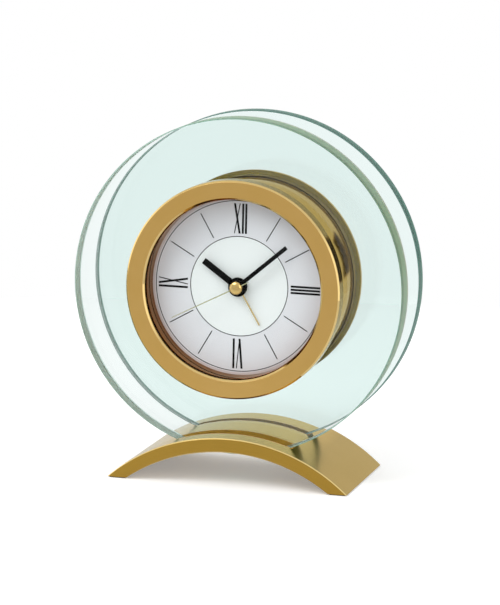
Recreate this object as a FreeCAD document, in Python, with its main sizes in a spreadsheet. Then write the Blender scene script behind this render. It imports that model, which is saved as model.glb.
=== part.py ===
import FreeCAD, Part
import math
import os
import re
import Sketcher

# Desk alarm clock: two round glass discs stand in the slots of an arched metal base,
# and a gold drum through both discs holds a dial, its hands and a battery movement.
# Millimetres. +Z is up, the clock faces -Y, and the origin is on the floor under its middle.

# Driving sizes, one plain number each
sizes = {
    # glass discs
    "discRadius": 75, "frontGlassThick": 12, "rearGlassThick": 7.5, "glassGap": 22.4,
    "glassBevel": 0.4, "glassFit": 0.2, "discLift": 12.6,
    # arched base
    "baseHalfWidth": 55, "baseFoot": 9, "baseCrown": 21.8, "baseThick": 6.5,
    "baseDepth": 66, "baseFrontReach": 11, "baseBevel": 0.5,
    "linerThick": 0.6, "linerFit": 0.06, "padThick": 0.5, "padInset": 0.9,
    # drum, bezel and rear flange
    "drumRadius": 45.9, "drumWall": 1.3, "threadFit": 0.1, "gasketThick": 0.4, "gasketWide": 2,
    "bezelRadius": 48.7, "bezelThick": 7.3, "bezelOpening": 40.1, "bezelBevel": 0.6,
    "bezelLip": 1.5, "spigotWall": 1.3, "spigotLong": 6,
    "flangeRadius": 48, "flangeThick": 2.5, "flangeBevel": 0.6,
    # lens and reflector ring behind the bezel
    "lensRadius": 41.4, "lensThick": 1.5, "lensFit": 0.15, "sealWide": 0.7, "sealDeep": 0.8,
    "reflectorBore": 39.8, "reflectorFlange": 1.5, "dialDeep": 12.2,
    # dial and its printing
    "dialThick": 0.5, "dialHole": 3.8, "inkThick": 0.06, "ringWide": 0.32,
    "outerRing": 38.2, "innerRing": 22.3, "markInner": 24.1, "markOuter": 36.4, "markWide": 0.42,
    "numeralInner": 23.6, "numeralOuter": 37, "strokeWide": 0.92, "hairWide": 0.42,
    "strokePitch": 1.42, "crossHalf": 1.2,
    # hands: reach, width, height over the dial and rest angle clockwise from twelve
    "handThick": 0.4, "hourReach": 19.1, "hourWide": 2.9, "hourHub": 4.3, "hourHigh": 2.5, "hourTurn": 305,
    "minuteReach": 29.4, "minuteWide": 1.8, "minuteHub": 3.3, "minuteHigh": 4, "minuteTurn": 49.2,
    "secondReach": 32.8, "secondRoot": 0.6, "secondTip": 0.32, "secondTail": 6.6, "secondHub": 2.9,
    "secondHigh": 5.5, "secondDome": 1.2, "secondTurn": 242.7,
    "alarmReach": 19.5, "alarmWide": 0.6, "alarmHub": 3.2, "alarmHigh": 1, "alarmTurn": 149.2,
    "hubDeep": 0.5, "pressFit": 0.03,
    # arbor and nested pipes at the centre
    "arborRadius": 0.5, "pipeWall": 0.5, "pipeFit": 0.09, "bushWall": 0.8, "pivotFit": 0.08, "pivotDeep": 0.8,
    # holder cup, movement plates and housing
    "holderRadius": 43, "holderWall": 1.2, "holderFloor": 1.5,
    "bossRadius": 3.2, "bossPlace": 39.4, "bossLong": 8,
    "plateHalf": 29, "frontPlateThick": 1.6, "middlePlateThick": 1, "housingWall": 1.6, "partitionThick": 1.5,
    "pillarRadius": 2.6, "pillarPlace": 25.2, "postRadius": 1.5, "postX": 20, "postZ": 11.6,
    "middleHalfX": 22, "middleHalfZ": 13.6,
    # depths of the train's layers behind the dial's face
    "alarmLayer": 4, "hourLayer": 5.2, "motionLayer": 6.8, "centreLayer": 8.6, "middleLayer": 10.2,
    "thirdLayer": 12, "secondLayer": 13.9, "fifthLayer": 15.6, "magnetLayer": 17.2, "partitionLayer": 21.5,
    "wheelThick": 0.8, "leafOver": 0.3,
    # gear teeth: counts, modules and the place of each arbor round the centre, anticlockwise from +X
    "pressureAngle": 25, "tipShare": 0.7, "rootShare": 0.95, "slackShare": 0.12,
    "rotorLeaves": 8, "fifthTeeth": 60, "rotorModule": 0.28, "rotorBearing": 205,
    "fifthLeaves": 10, "secondTeeth": 40, "fifthModule": 0.42, "fifthBearing": 200,
    "secondLeaves": 8, "thirdTeeth": 64, "secondModule": 0.34, "thirdBearing": 340,
    "thirdLeaves": 8, "centreTeeth": 60,
    "cannonLeaves": 12, "minuteTeeth": 36, "cannonModule": 0.5, "minuteBearing": 60,
    "minuteLeaves": 10, "hourTeeth": 40,
    "timeSetLeaves": 12, "timeSetBearing": 60,
    "alarmTeeth": 48, "alarmLeaves": 14, "alarmModule": 0.44, "alarmBearing": 120,
    "setArborRadius": 1.2, "magnetRadius": 3, "magnetLong": 2.2, "studRadius": 0.7,
    # motor and circuit
    "statorLayer": 17.8, "statorThick": 0.8, "statorHole": 3.5, "statorHalf": 4.2, "statorFoot": 23,
    "coreHigh": 3, "coreRight": 14.5, "coilRadius": 2.8, "coilSleeve": 1.9, "coilLeft": 9, "coilRight": 11,
    "bobbinEnd": 0.7, "coreFit": 0.1,
    "boardLeft": 13.6, "boardRight": 26.4, "boardLow": -17, "boardHigh": 6, "boardThick": 1, "boardGap": 1.6,
    "chipHalf": 2.5, "chipThick": 1.2, "crystalRadius": 1, "crystalLong": 6,
    "buzzerX": 21, "buzzerZ": 3.6, "buzzerRadius": 9.5, "buzzerThick": 3.4,
    # battery bay, cell and contacts
    "bayHalf": 27.4, "bayCentre": -18.8, "bayHalfHigh": 7.9, "cellRadius": 7.2, "cellLong": 49.3,
    "nubRadius": 2.75, "nubLong": 1.2, "cellLift": 0.2, "contactThick": 0.4, "contactHalf": 5,
    "contactFit": 0.08, "springRoot": 5, "springTip": 3,
    # rear cover, door, knobs, switch and screws
    "coverThick": 2, "coverFit": 0.1, "doorHalf": 28.4, "doorHalfHigh": 8.9, "doorThick": 0.95,
    "doorLedge": 1.7, "doorFit": 0.2,
    "knobRadius": 5.5, "knobLong": 5.8, "knobGap": 0.4, "knobBevel": 0.5, "knobGrip": 4,
    "fluteRadius": 0.6, "fluteCount": 16, "arborHoleFit": 0.25,
    "switchX": -22, "switchZ": 9, "switchTravel": 5, "thumbHalfX": 3, "thumbHalfZ": 2, "thumbHigh": 2.4,
    "stemHalf": 1, "stemFit": 0.15, "tabHalf": 2.4, "tabThick": 0.8, "slideGap": 0.1,
    "screwHead": 2.1, "screwHeadHigh": 0.9, "screwRadius": 1, "screwLong": 6, "screwFit": 0.05,
    "screwSlotWide": 0.6, "screwSlotDeep": 0.45, "soundHole": 0.8, "soundPlace": 3.2, "overrun": 1,
}

doc = FreeCAD.newDocument("DeskClock")
sheet = doc.addObject("Spreadsheet::Sheet", "Sheet")
for row, (name, number) in enumerate(sizes.items(), start=1):
    sheet.set("A%d" % row, name)
    sheet.set("B%d" % row, str(number))
    sheet.setAlias("B%d" % row, name)
doc.recompute()

# Places worked out from the driving sizes, each written once as a formula
places = doc.addObject("App::VarSet", "Places")
placed = set()


def linked(hit):
    word = hit.group()
    if word in sizes:
        return "Sheet." + word
    return "Places." + word if word in placed else word


def formula(text):
    return re.sub(r"[A-Za-z]\w*", linked, text)


def place(name, text):
    places.addProperty("App::PropertyFloat", name)
    places.setExpression(name, formula(text))
    placed.add(name)


def val(name):
    return float(sheet.get(name)) if name in sizes else float(getattr(places, name))


place("axisHeight", "discLift + discRadius")
place("baseInnerHalf", "baseHalfWidth - baseFoot")
place("baseFront", "-baseDepth / 2")
place("baseBack", "baseDepth / 2")
place("glassFront", "baseFront + baseFrontReach")
place("glassBack", "glassFront + frontGlassThick")
place("rearGlassFront", "glassBack + glassGap")
place("rearGlassBack", "rearGlassFront + rearGlassThick")
place("bezelBack", "glassFront - gasketThick")
place("bezelFront", "bezelBack - bezelThick")
place("flangeFront", "rearGlassBack + gasketThick")
place("flangeBack", "flangeFront + flangeThick")
place("drumBore", "drumRadius - drumWall")
place("spigotOuter", "drumBore - threadFit")
place("spigotBore", "spigotOuter - spigotWall")
place("lensFront", "bezelFront + bezelLip")
place("lensBack", "lensFront + lensThick")
place("dialFront", "bezelFront + dialDeep")
place("dialBack", "dialFront + dialThick")
place("seatStep", "dialFront - reflectorFlange")
place("holderBack", "flangeBack - coverThick")
place("plateFront", "dialBack + holderFloor")
place("plateBack", "plateFront + frontPlateThick")
place("partitionFront", "dialFront + partitionLayer")
place("bayFloor", "partitionFront + partitionThick")
place("middleFront", "dialFront + middleLayer")
place("middleBack", "middleFront + middlePlateThick")
place("coverFront", "holderBack")
place("coverBack", "flangeBack")
place("knobFront", "coverBack + knobGap")
place("minutePipeBore", "arborRadius + pipeFit")
place("minutePipe", "minutePipeBore + pipeWall")
place("hourPipeBore", "minutePipe + pipeFit")
place("hourPipe", "hourPipeBore + pipeWall")
place("alarmPipeBore", "hourPipe + pipeFit")
place("alarmPipe", "alarmPipeBore + pipeWall")
place("bushBore", "alarmPipe + pipeFit")
place("bushRadius", "bushBore + bushWall")
place("fifthReach", "fifthModule * (fifthLeaves + secondTeeth) / 2")
place("rotorReach", "rotorModule * (rotorLeaves + fifthTeeth) / 2")
place("thirdReach", "secondModule * (secondLeaves + thirdTeeth) / 2")
place("minuteReachC", "cannonModule * (cannonLeaves + minuteTeeth) / 2")
place("timeSetReach", "cannonModule * (timeSetLeaves + minuteTeeth) / 2")
place("alarmReachC", "alarmModule * (alarmLeaves + alarmTeeth) / 2")
for arbor, carrier, reach in (("fifth", "", "fifthReach"), ("third", "", "thirdReach"),
                              ("minute", "", "minuteReachC"), ("alarm", "", "alarmReachC"),
                              ("rotor", "fifth", "rotorReach"), ("timeSet", "minute", "timeSetReach")):
    startX = carrier + "X + " if carrier else ""
    startZ = carrier + "Z" if carrier else "axisHeight"
    place(arbor + "X", "%s%s * cos(%sBearing)" % (startX, reach, arbor))
    place(arbor + "Z", "%s + %s * sin(%sBearing)" % (startZ, reach, arbor))
doc.recompute()

kept = []


def bind(thing, name, text):
    thing.setExpression(name, formula(text))


def keep(thing, label):
    thing.Label = label
    kept.append(thing)
    return thing


# A solid of revolution about an axis along Y: its half profile is a list of (radius, y) formulas
def turned(name, profile, x="0", z="axisHeight"):
    body = doc.addObject("PartDesign::Body", name + "Body")
    sketch = body.newObject("Sketcher::SketchObject", name + "Profile")
    plane = [item for item in body.Origin.OriginFeatures if item.Role == "XY_Plane"][0]
    sketch.AttachmentSupport = (plane, [""])
    sketch.MapMode = "FlatFace"
    outline(sketch, profile)
    revolve = body.newObject("PartDesign::Revolution", name + "Turn")
    revolve.Profile = sketch
    revolve.ReferenceAxis = (sketch, ["V_Axis"])
    revolve.Angle = 360
    bind(body, "Placement.Base.x", x)
    bind(body, "Placement.Base.z", z)
    return body


# Straight edges through points whose two distances from the origin follow formulas
def outline(sketch, points):
    count = len(points)
    first = [FreeCAD.Vector(1 + math.cos(2 * math.pi * i / count), math.sin(2 * math.pi * i / count))
             for i in range(count)]
    for i in range(count):
        sketch.addGeometry(Part.LineSegment(first[i], first[(i + 1) % count]), False)
    for i in range(count):
        sketch.addConstraint(Sketcher.Constraint("Coincident", i, 2, (i + 1) % count, 1))
    for i, (across, along) in enumerate(points):
        for kind, word, text, start in (("DistanceX", "across%d" % i, across, first[i].x),
                                        ("DistanceY", "along%d" % i, along, first[i].y)):
            if text == "0":
                axis = -2 if kind == "DistanceX" else -1
                sketch.addConstraint(Sketcher.Constraint("PointOnObject", i, 1, axis))
                continue
            index = sketch.addConstraint(Sketcher.Constraint(kind, -1, 1, i, 1, start))
            sketch.renameConstraint(index, word)
            sketch.setExpression("Constraints." + word, formula(text))


# Half profile of a plain ring with both outer edges bevelled
def ringProfile(bore, radius, front, back, bevel):
    return [(bore, front), (radius + " - " + bevel, front), (radius, front + " + " + bevel),
            (radius, back + " - " + bevel), (radius + " - " + bevel, back), (bore, back)]


def rod(name, radius, front, back, x="0", z="0", lift="axisHeight + "):
    item = doc.addObject("Part::Cylinder", name)
    bind(item, "Radius", radius)
    bind(item, "Height", "(%s) - (%s)" % (back, front))
    item.Placement = FreeCAD.Placement(FreeCAD.Vector(), FreeCAD.Rotation(FreeCAD.Vector(1, 0, 0), -90))
    bind(item, "Placement.Base.x", x)
    bind(item, "Placement.Base.y", front)
    bind(item, "Placement.Base.z", lift + "(" + z + ")")
    return item


def block(name, left, right, front, back, low, high, lift="axisHeight + "):
    item = doc.addObject("Part::Box", name)
    bind(item, "Length", "(%s) - (%s)" % (right, left))
    bind(item, "Width", "(%s) - (%s)" % (back, front))
    bind(item, "Height", "(%s) - (%s)" % (high, low))
    bind(item, "Placement.Base.x", left)
    bind(item, "Placement.Base.y", front)
    bind(item, "Placement.Base.z", lift + "(" + low + ")")
    return item


def join(name, items):
    item = doc.addObject("Part::MultiFuse", name)
    item.Shapes = items
    item.Refine = True
    return item


def cut(name, base, tools):
    item = doc.addObject("Part::Cut", name)
    item.Base = base
    item.Tool = tools[0] if len(tools) == 1 else join(name + "Tools", tools)
    return item


# Arched base: a band between two arcs on one centre line, feet cut flat, run from front to back
def archBand():
    body = doc.addObject("PartDesign::Body", "ArchBody")
    sketch = body.newObject("Sketcher::SketchObject", "ArchProfile")
    plane = [item for item in body.Origin.OriginFeatures if item.Role == "XZ_Plane"][0]
    sketch.AttachmentSupport = (plane, [""])
    sketch.MapMode = "FlatFace"
    foot = val("padThick")
    rises = {"baseHalfWidth": "baseCrown - padThick", "baseInnerHalf": "baseCrown - baseThick - padThick"}
    for index, half in enumerate(rises):
        rise = val("baseCrown") - foot - (val("baseThick") if index else 0)
        radius = (val(half) ** 2 + rise ** 2) / (2 * rise)
        centre = FreeCAD.Vector(0, foot + rise - radius)
        spread = math.asin(val(half) / radius)
        circle = Part.Circle(centre, FreeCAD.Vector(0, 0, 1), radius)
        sketch.addGeometry(Part.ArcOfCircle(circle, math.pi / 2 - spread, math.pi / 2 + spread), False)
        text = "((%s)^2 + (%s)^2) / (2 * (%s))" % (half, rises[half], rises[half])
        constraints = (("DistanceX", (-1, 1, index, 1), "right%d" % index, half),
                       ("DistanceX", (index, 2, -1, 1), "left%d" % index, half),
                       ("DistanceY", (-1, 1, index, 1), "rightFoot%d" % index, "padThick"),
                       ("DistanceY", (-1, 1, index, 2), "leftFoot%d" % index, "padThick"))
        for kind, picked, word, source in constraints:
            index2 = sketch.addConstraint(Sketcher.Constraint(kind, *picked, val(source)))
            sketch.renameConstraint(index2, word)
            sketch.setExpression("Constraints." + word, formula(source))
        index2 = sketch.addConstraint(Sketcher.Constraint("Radius", index, radius))
        sketch.renameConstraint(index2, "bend%d" % index)
        sketch.setExpression("Constraints.bend%d" % index, formula(text))
    for line, end in ((2, 1), (3, 2)):
        outer = FreeCAD.Vector(val("baseHalfWidth") * (1 if end == 1 else -1), foot)
        inner = FreeCAD.Vector(val("baseInnerHalf") * (1 if end == 1 else -1), foot)
        sketch.addGeometry(Part.LineSegment(outer, inner), False)
        sketch.addConstraint(Sketcher.Constraint("Coincident", line, 1, 0, end))
        sketch.addConstraint(Sketcher.Constraint("Coincident", line, 2, 1, end))
    pad = body.newObject("PartDesign::Pad", "ArchPad")
    pad.Profile = sketch
    bind(pad, "Length", "baseDepth")
    pad.Midplane = True
    doc.recompute()
    ends = ["Face%d" % (i + 1) for i, face in enumerate(pad.Shape.Faces)
            if abs(abs(face.normalAt(0, 0).y) - 1) < 1e-6]
    bevel = body.newObject("PartDesign::Chamfer", "ArchBevel")
    bevel.Base = (pad, ends)
    bind(bevel, "Size", "baseBevel")
    return body


arch = archBand()
slots = []
for side, front, back in (("front", "glassFront", "glassBack"), ("rear", "rearGlassFront", "rearGlassBack")):
    slot = rod(side + "Slot", "discRadius + linerThick", front + " - linerThick", back + " + linerThick")
    room = rod(side + "Room", "discRadius + linerFit", front + " - linerFit", back + " + linerFit")
    lining = doc.addObject("Part::Common", side + "Lining")
    lining.Base = arch
    lining.Tool = slot
    keep(cut(side + "SlotLiner", lining, [room]), side + "_slot_liner")
    slots.append(slot)
    ring = ringProfile("drumRadius + glassFit", "discRadius", front, back, "glassBevel")
    keep(turned(side + "Disc", ring), side + "_glass_disc")
keep(cut("BaseArch", arch, slots), "base_arch")

pads = []
for side, low, high in (("Left", "-baseHalfWidth + padInset", "-baseInnerHalf - padInset"),
                        ("Right", "baseInnerHalf + padInset", "baseHalfWidth - padInset")):
    pads.append(block("Pad" + side, low, high, "baseFront + padInset", "baseBack - padInset",
                      "0", "padThick", ""))
keep(join("FootPads", pads), "foot_pads")

# Drum through both discs, bezel screwed in at its front, flange at its rear
keep(turned("Drum", [("drumBore", "bezelBack"), ("drumRadius", "bezelBack"),
                     ("drumRadius", "flangeFront"), ("drumBore", "flangeFront")]), "drum_tube")
keep(turned("Bezel", [("bezelOpening + bezelBevel", "bezelFront"), ("bezelRadius - bezelBevel", "bezelFront"),
                      ("bezelRadius", "bezelFront + bezelBevel"), ("bezelRadius", "bezelBack"),
                      ("spigotOuter", "bezelBack"), ("spigotOuter", "bezelBack + spigotLong"),
                      ("spigotBore", "bezelBack + spigotLong"), ("spigotBore", "seatStep"),
                      ("lensRadius + lensFit", "seatStep"), ("lensRadius + lensFit", "lensFront"),
                      ("bezelOpening", "lensFront"), ("bezelOpening", "bezelFront + bezelBevel")]),
     "front_bezel")
keep(turned("Flange", [("spigotBore", "flangeFront - spigotLong"), ("spigotOuter", "flangeFront - spigotLong"),
                       ("spigotOuter", "flangeFront"), ("flangeRadius", "flangeFront"),
                       ("flangeRadius", "flangeBack - flangeBevel"),
                       ("flangeRadius - flangeBevel", "flangeBack"),
                       ("spigotBore", "flangeBack")]), "rear_flange")
gasketBore = "drumRadius + glassFit"
for side, front, back in (("Front", "bezelBack", "glassFront"), ("Rear", "rearGlassBack", "flangeFront")):
    keep(turned(side + "Gasket", [(gasketBore, front), (gasketBore + " + gasketWide", front),
                                  (gasketBore + " + gasketWide", back), (gasketBore, back)]),
         side.lower() + "_disc_gasket")

# Lens, its seal, and the polished ring between lens and dial
keep(turned("Lens", [("0", "lensFront"), ("lensRadius", "lensFront"), ("lensRadius", "lensBack"),
                     ("0", "lensBack")]), "lens")
sealBore = "lensRadius - sealWide"
keep(turned("Seal", [(sealBore, "lensBack"), ("lensRadius", "lensBack"),
                     ("lensRadius", "lensBack + sealDeep"), (sealBore, "lensBack + sealDeep")]), "lens_seal")
keep(turned("Reflector", [("reflectorBore", "lensBack"), (sealBore, "lensBack"),
                          (sealBore, "lensBack + sealDeep"),
                          ("lensRadius", "lensBack + sealDeep"), ("lensRadius", "seatStep"),
                          ("holderRadius", "seatStep"), ("holderRadius", "dialFront"),
                          ("reflectorBore", "dialFront")]), "reflector_ring")
keep(turned("Dial", [("dialHole", "dialFront"), ("holderRadius", "dialFront"), ("holderRadius", "dialBack"),
                     ("dialHole", "dialBack")]), "dial_plate")

# Cup that carries dial and movement, with three screw bosses for the rear cover
holderCup = turned("Holder", [("dialHole", "dialBack"), ("holderRadius", "dialBack"),
                              ("holderRadius", "holderBack"),
                              ("holderRadius - holderWall", "holderBack"),
                              ("holderRadius - holderWall", "plateFront"), ("dialHole", "plateFront")])
screwBearings = (90, 210, 330)
bosses = []
bossHoles = []
for bearing in screwBearings:
    spot = {"x": "bossPlace * cos(%d)" % bearing, "z": "bossPlace * sin(%d)" % bearing}
    bosses.append(rod("Boss%d" % bearing, "bossRadius", "holderBack - bossLong", "holderBack", **spot))
    bossHoles.append(rod("BossHole%d" % bearing, "screwRadius + screwFit", "holderBack - screwLong",
                         "holderBack", **spot))
inside = rod("HolderInside", "holderRadius - holderWall / 2", "plateFront", "holderBack")
bossesCut = doc.addObject("Part::Common", "BossesInside")
bossesCut.Base = join("Bosses", bosses)
bossesCut.Tool = inside
keep(cut("MovementHolder", join("HolderWhole", [holderCup, bossesCut]), bossHoles), "movement_holder")

# Movement front plate with the centre bush and four posts
corners = [(x, z) for x in ("-", "") for z in ("-", "")]
frontParts = [block("PlateSlab", "-plateHalf", "plateHalf", "plateFront", "plateBack", "-plateHalf",
                    "plateHalf"),
              rod("Bush", "bushRadius", "dialFront", "plateBack")]
frontHoles = [rod("BushHole", "bushBore", "dialFront - overrun", "plateBack + overrun")]
for number, (x, z) in enumerate(corners):
    frontParts.append(rod("Post%d" % number, "postRadius", "plateFront", "middleFront", x + "postX",
                          z + "postZ"))
    frontHoles.append(rod("PlateSink%d" % number, "screwHead + screwFit", "plateFront - overrun",
                          "plateFront + screwHeadHigh", x + "pillarPlace", z + "pillarPlace"))
    frontHoles.append(rod("PlateHole%d" % number, "screwRadius + screwFit", "plateFront",
                          "plateBack + overrun", x + "pillarPlace", z + "pillarPlace"))
frontHoles.append(rod("ThirdPivotFront", "arborRadius + pivotFit", "plateBack - pivotDeep",
                      "plateBack + overrun", "thirdX", "thirdZ", ""))
frontHoles.append(rod("StudHole", "studRadius + pressFit", "plateFront - overrun", "plateBack + overrun",
                      "minuteX", "minuteZ", ""))
for which in ("timeSet", "alarm"):
    frontHoles.append(rod(which + "PivotFront", "setArborRadius + pivotFit", "plateBack - pivotDeep",
                          "plateBack + overrun", which + "X", which + "Z", ""))
keep(cut("FrontPlate", join("FrontPlateWhole", frontParts), frontHoles), "movement_front_plate")

# Middle plate on the posts: it carries the front pivots of the fast wheels
middleHoles = [rod("MiddleCentre", "arborRadius + pivotFit", "middleFront - overrun", "middleBack + overrun")]
for which in ("third", "fifth", "rotor"):
    middleHoles.append(rod(which + "PivotMiddle", "arborRadius + pivotFit", "middleFront - overrun",
                           "middleBack + overrun", which + "X", which + "Z", ""))
middleHoles.append(rod("AlarmThroughMiddle", "setArborRadius + arborHoleFit", "middleFront - overrun",
                       "middleBack + overrun", "alarmX", "alarmZ", ""))
middleSlab = block("MiddleSlab", "-middleHalfX", "middleHalfX", "middleFront", "middleBack",
                   "-middleHalfZ", "middleHalfZ")
keep(cut("MiddlePlate", middleSlab, middleHoles), "movement_middle_plate")

# Housing: an open box round the train, a partition, and the battery bay behind it
bayLow = "bayCentre - bayHalfHigh"
bayHigh = "bayCentre + bayHalfHigh"
housingShell = cut("HousingShell", block("HousingBox", "-plateHalf", "plateHalf", "plateBack", "bayFloor",
                                         "-plateHalf", "plateHalf"),
                   [block("TrainSpace", "-plateHalf + housingWall", "plateHalf - housingWall",
                          "plateBack - overrun", "partitionFront", "-plateHalf + housingWall",
                          "plateHalf - housingWall")])
bayShell = cut("BayShell", block("BayBox", "-bayHalf - housingWall", "bayHalf + housingWall", "bayFloor",
                                 "coverFront - coverFit", bayLow + " - housingWall",
                                 bayHigh + " + housingWall"),
               [block("BaySpace", "-bayHalf", "bayHalf", "bayFloor", "coverFront + overrun", bayLow,
                      bayHigh)])
housingParts = [housingShell, bayShell]
housingHoles = []
for number, (x, z) in enumerate(corners):
    spot = (x + "pillarPlace", z + "pillarPlace")
    housingParts.append(rod("Pillar%d" % number, "pillarRadius", "plateBack", "partitionFront", *spot))
    housingHoles.append(rod("PillarHole%d" % number, "screwRadius + screwFit", "plateBack - overrun",
                            "plateFront + screwHeadHigh + screwLong", *spot))
statorBack = "dialFront + statorLayer + statorThick"
coreMiddle = "coreHigh / 2 - statorFoot"
housingParts.append(rod("StatorPostLeft", "postRadius", statorBack, "partitionFront", "rotorX",
                        "rotorZ - axisHeight - statorHole - 2 * postRadius"))
housingParts.append(rod("StatorPostRight", "coreHigh / 2", statorBack, "partitionFront",
                        "coreRight - coreHigh / 2", coreMiddle))
for number, height in enumerate(("boardLow + postRadius", "boardHigh - postRadius")):
    housingParts.append(rod("BoardPost%d" % number, "postRadius", "partitionFront - boardGap",
                            "partitionFront", "boardRight - 2 * postRadius", height))
for which, radius in (("third", "arborRadius"), ("fifth", "arborRadius"), ("rotor", "arborRadius")):
    housingHoles.append(rod(which + "PivotRear", radius + " + pivotFit", "partitionFront - overrun",
                            "partitionFront + pivotDeep", which + "X", which + "Z", ""))
housingHoles.append(rod("SecondPivotRear", "arborRadius + pivotFit", "partitionFront - overrun",
                        "partitionFront + pivotDeep"))
for which in ("timeSet", "alarm"):
    housingHoles.append(rod(which + "Through", "setArborRadius + pivotFit", "partitionFront - overrun",
                            "bayFloor + overrun", which + "X", which + "Z", ""))
keep(cut("Housing", join("HousingWhole", housingParts), housingHoles), "movement_housing")

# Rear cover with its door recess, sound holes, switch slot and knob holes
openHalf = "doorHalf - doorLedge"
openHigh = "doorHalfHigh - doorLedge"
coverTools = [block("DoorRecess", "-doorHalf", "doorHalf", "coverBack - doorThick", "coverBack + overrun",
                    "bayCentre - doorHalfHigh", "bayCentre + doorHalfHigh"),
              block("DoorOpening", "-(%s)" % openHalf, openHalf, "coverFront - overrun",
                    "coverBack + overrun", "bayCentre - (%s)" % openHigh, "bayCentre + (%s)" % openHigh),
              block("SwitchSlot", "switchX - stemHalf - stemFit", "switchX + stemHalf + stemFit",
                    "coverFront - overrun", "coverBack + overrun", "switchZ - stemHalf - stemFit",
                    "switchZ + stemHalf + switchTravel + stemFit")]
for which in ("timeSet", "alarm"):
    coverTools.append(rod(which + "CoverHole", "setArborRadius + arborHoleFit", "coverFront - overrun",
                          "coverBack + overrun", which + "X", which + "Z", ""))
for bearing in screwBearings:
    spot = {"x": "bossPlace * cos(%d)" % bearing, "z": "bossPlace * sin(%d)" % bearing}
    coverTools.append(rod("CoverHole%d" % bearing, "screwRadius + screwFit", "coverFront - overrun",
                          "coverBack", **spot))
    coverTools.append(rod("CoverSink%d" % bearing, "screwHead + screwFit", "coverBack - screwHeadHigh",
                          "coverBack + overrun", **spot))
soundSpots = [(0, 0)] + [(1, turn) for turn in range(0, 360, 60)]
for number, (ring, turn) in enumerate(soundSpots):
    coverTools.append(rod("SoundHole%d" % number, "soundHole", "coverFront - overrun", "coverBack + overrun",
                          "buzzerX + soundPlace * %d * cos(%d)" % (ring, turn),
                          "buzzerZ + soundPlace * %d * sin(%d)" % (ring, turn)))
coverDisc = rod("CoverDisc", "holderRadius", "coverFront", "coverBack")
keep(cut("RearCover", coverDisc, coverTools), "rear_cover")
doorParts = [block("DoorPlate", "-doorHalf + doorFit", "doorHalf - doorFit", "coverBack - doorThick",
                   "coverBack", "bayCentre - doorHalfHigh + doorFit", "bayCentre + doorHalfHigh - doorFit"),
             block("DoorPlug", "-(%s) + doorFit" % openHalf, "(%s) - doorFit" % openHalf,
                   "coverFront + coverFit", "coverBack - doorThick", "bayCentre - (%s) + doorFit" % openHigh,
                   "bayCentre + (%s) - doorFit" % openHigh)]
notch = rod("DoorNotch", "doorLedge * 2", "coverBack - doorThick / 2", "coverBack + overrun",
            "0", "bayCentre + doorHalfHigh - doorFit")
keep(cut("BatteryDoor", join("DoorWhole", doorParts), [notch]), "battery_door")

# Alarm switch: thumb piece outside, stem through the slot, tab inside
keep(join("AlarmSwitch", [
    block("Thumb", "switchX - thumbHalfX", "switchX + thumbHalfX", "coverBack + slideGap",
          "coverBack + slideGap + thumbHigh", "switchZ - thumbHalfZ", "switchZ + thumbHalfZ"),
    block("Stem", "switchX - stemHalf", "switchX + stemHalf", "coverFront - slideGap - tabThick",
          "coverBack + slideGap", "switchZ - stemHalf", "switchZ + stemHalf"),
    block("Tab", "switchX - tabHalf", "switchX + tabHalf", "coverFront - slideGap - tabThick",
          "coverFront - slideGap", "switchZ - tabHalf", "switchZ + tabHalf")]), "alarm_switch")


# Setting knob: a bevelled disc with a ring of grip flutes and a blind hole for its arbor
def knob(which):
    body = doc.addObject("PartDesign::Body", which + "KnobBody")
    plane = [item for item in body.Origin.OriginFeatures if item.Role == "XZ_Plane"][0]
    steps = (("Outline", "knobRadius"), ("Flute", "fluteRadius"), ("Bore", "setArborRadius + pressFit"))
    for step, radius in steps:
        sketch = body.newObject("Sketcher::SketchObject", which + "Knob" + step)
        sketch.AttachmentSupport = (plane, [""])
        sketch.MapMode = "FlatFace"
        middle = FreeCAD.Vector(0, val("knobRadius") if step == "Flute" else 0)
        sketch.addGeometry(Part.Circle(middle, FreeCAD.Vector(0, 0, 1), val("fluteRadius")), False)
        index = sketch.addConstraint(Sketcher.Constraint("Radius", 0, val("fluteRadius")))
        sketch.renameConstraint(index, "wide")
        sketch.setExpression("Constraints.wide", formula(radius))
        sketch.addConstraint(Sketcher.Constraint("PointOnObject", 0, 3, -2))
        if step == "Flute":
            index = sketch.addConstraint(Sketcher.Constraint("DistanceY", -1, 1, 0, 3, val("knobRadius")))
            sketch.renameConstraint(index, "out")
            sketch.setExpression("Constraints.out", formula("knobRadius"))
        else:
            sketch.addConstraint(Sketcher.Constraint("PointOnObject", 0, 3, -1))
        if step == "Outline":
            solid = body.newObject("PartDesign::Pad", which + "KnobPad")
            solid.Profile = sketch
            solid.Reversed = True
            bind(solid, "Length", "knobLong")
            doc.recompute()
            far = max(range(len(solid.Shape.Edges)), key=lambda i: solid.Shape.Edges[i].CenterOfMass.y)
            bevel = body.newObject("PartDesign::Chamfer", which + "KnobBevel")
            bevel.Base = (solid, ["Edge%d" % (far + 1)])
            bind(bevel, "Size", "knobBevel")
        else:
            hollow = body.newObject("PartDesign::Pocket", which + "Knob" + step + "Cut")
            hollow.Profile = sketch
            hollow.Reversed = False
            bind(hollow, "Length", "knobLong" if step == "Flute" else "knobGrip")
            doc.recompute()
            if step == "Flute":
                turns = body.newObject("PartDesign::PolarPattern", which + "KnobFlutes")
                turns.Originals = [hollow]
                turns.Axis = (sketch, ["N_Axis"])
                turns.Angle = 360
                bind(turns, "Occurrences", "fluteCount")
                body.Tip = turns
                doc.recompute()
    bind(body, "Placement.Base.x", which + "X")
    bind(body, "Placement.Base.y", "knobFront")
    bind(body, "Placement.Base.z", which + "Z")
    return body


keep(knob("timeSet"), "time_set_knob")
keep(knob("alarm"), "alarm_set_knob")

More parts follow.
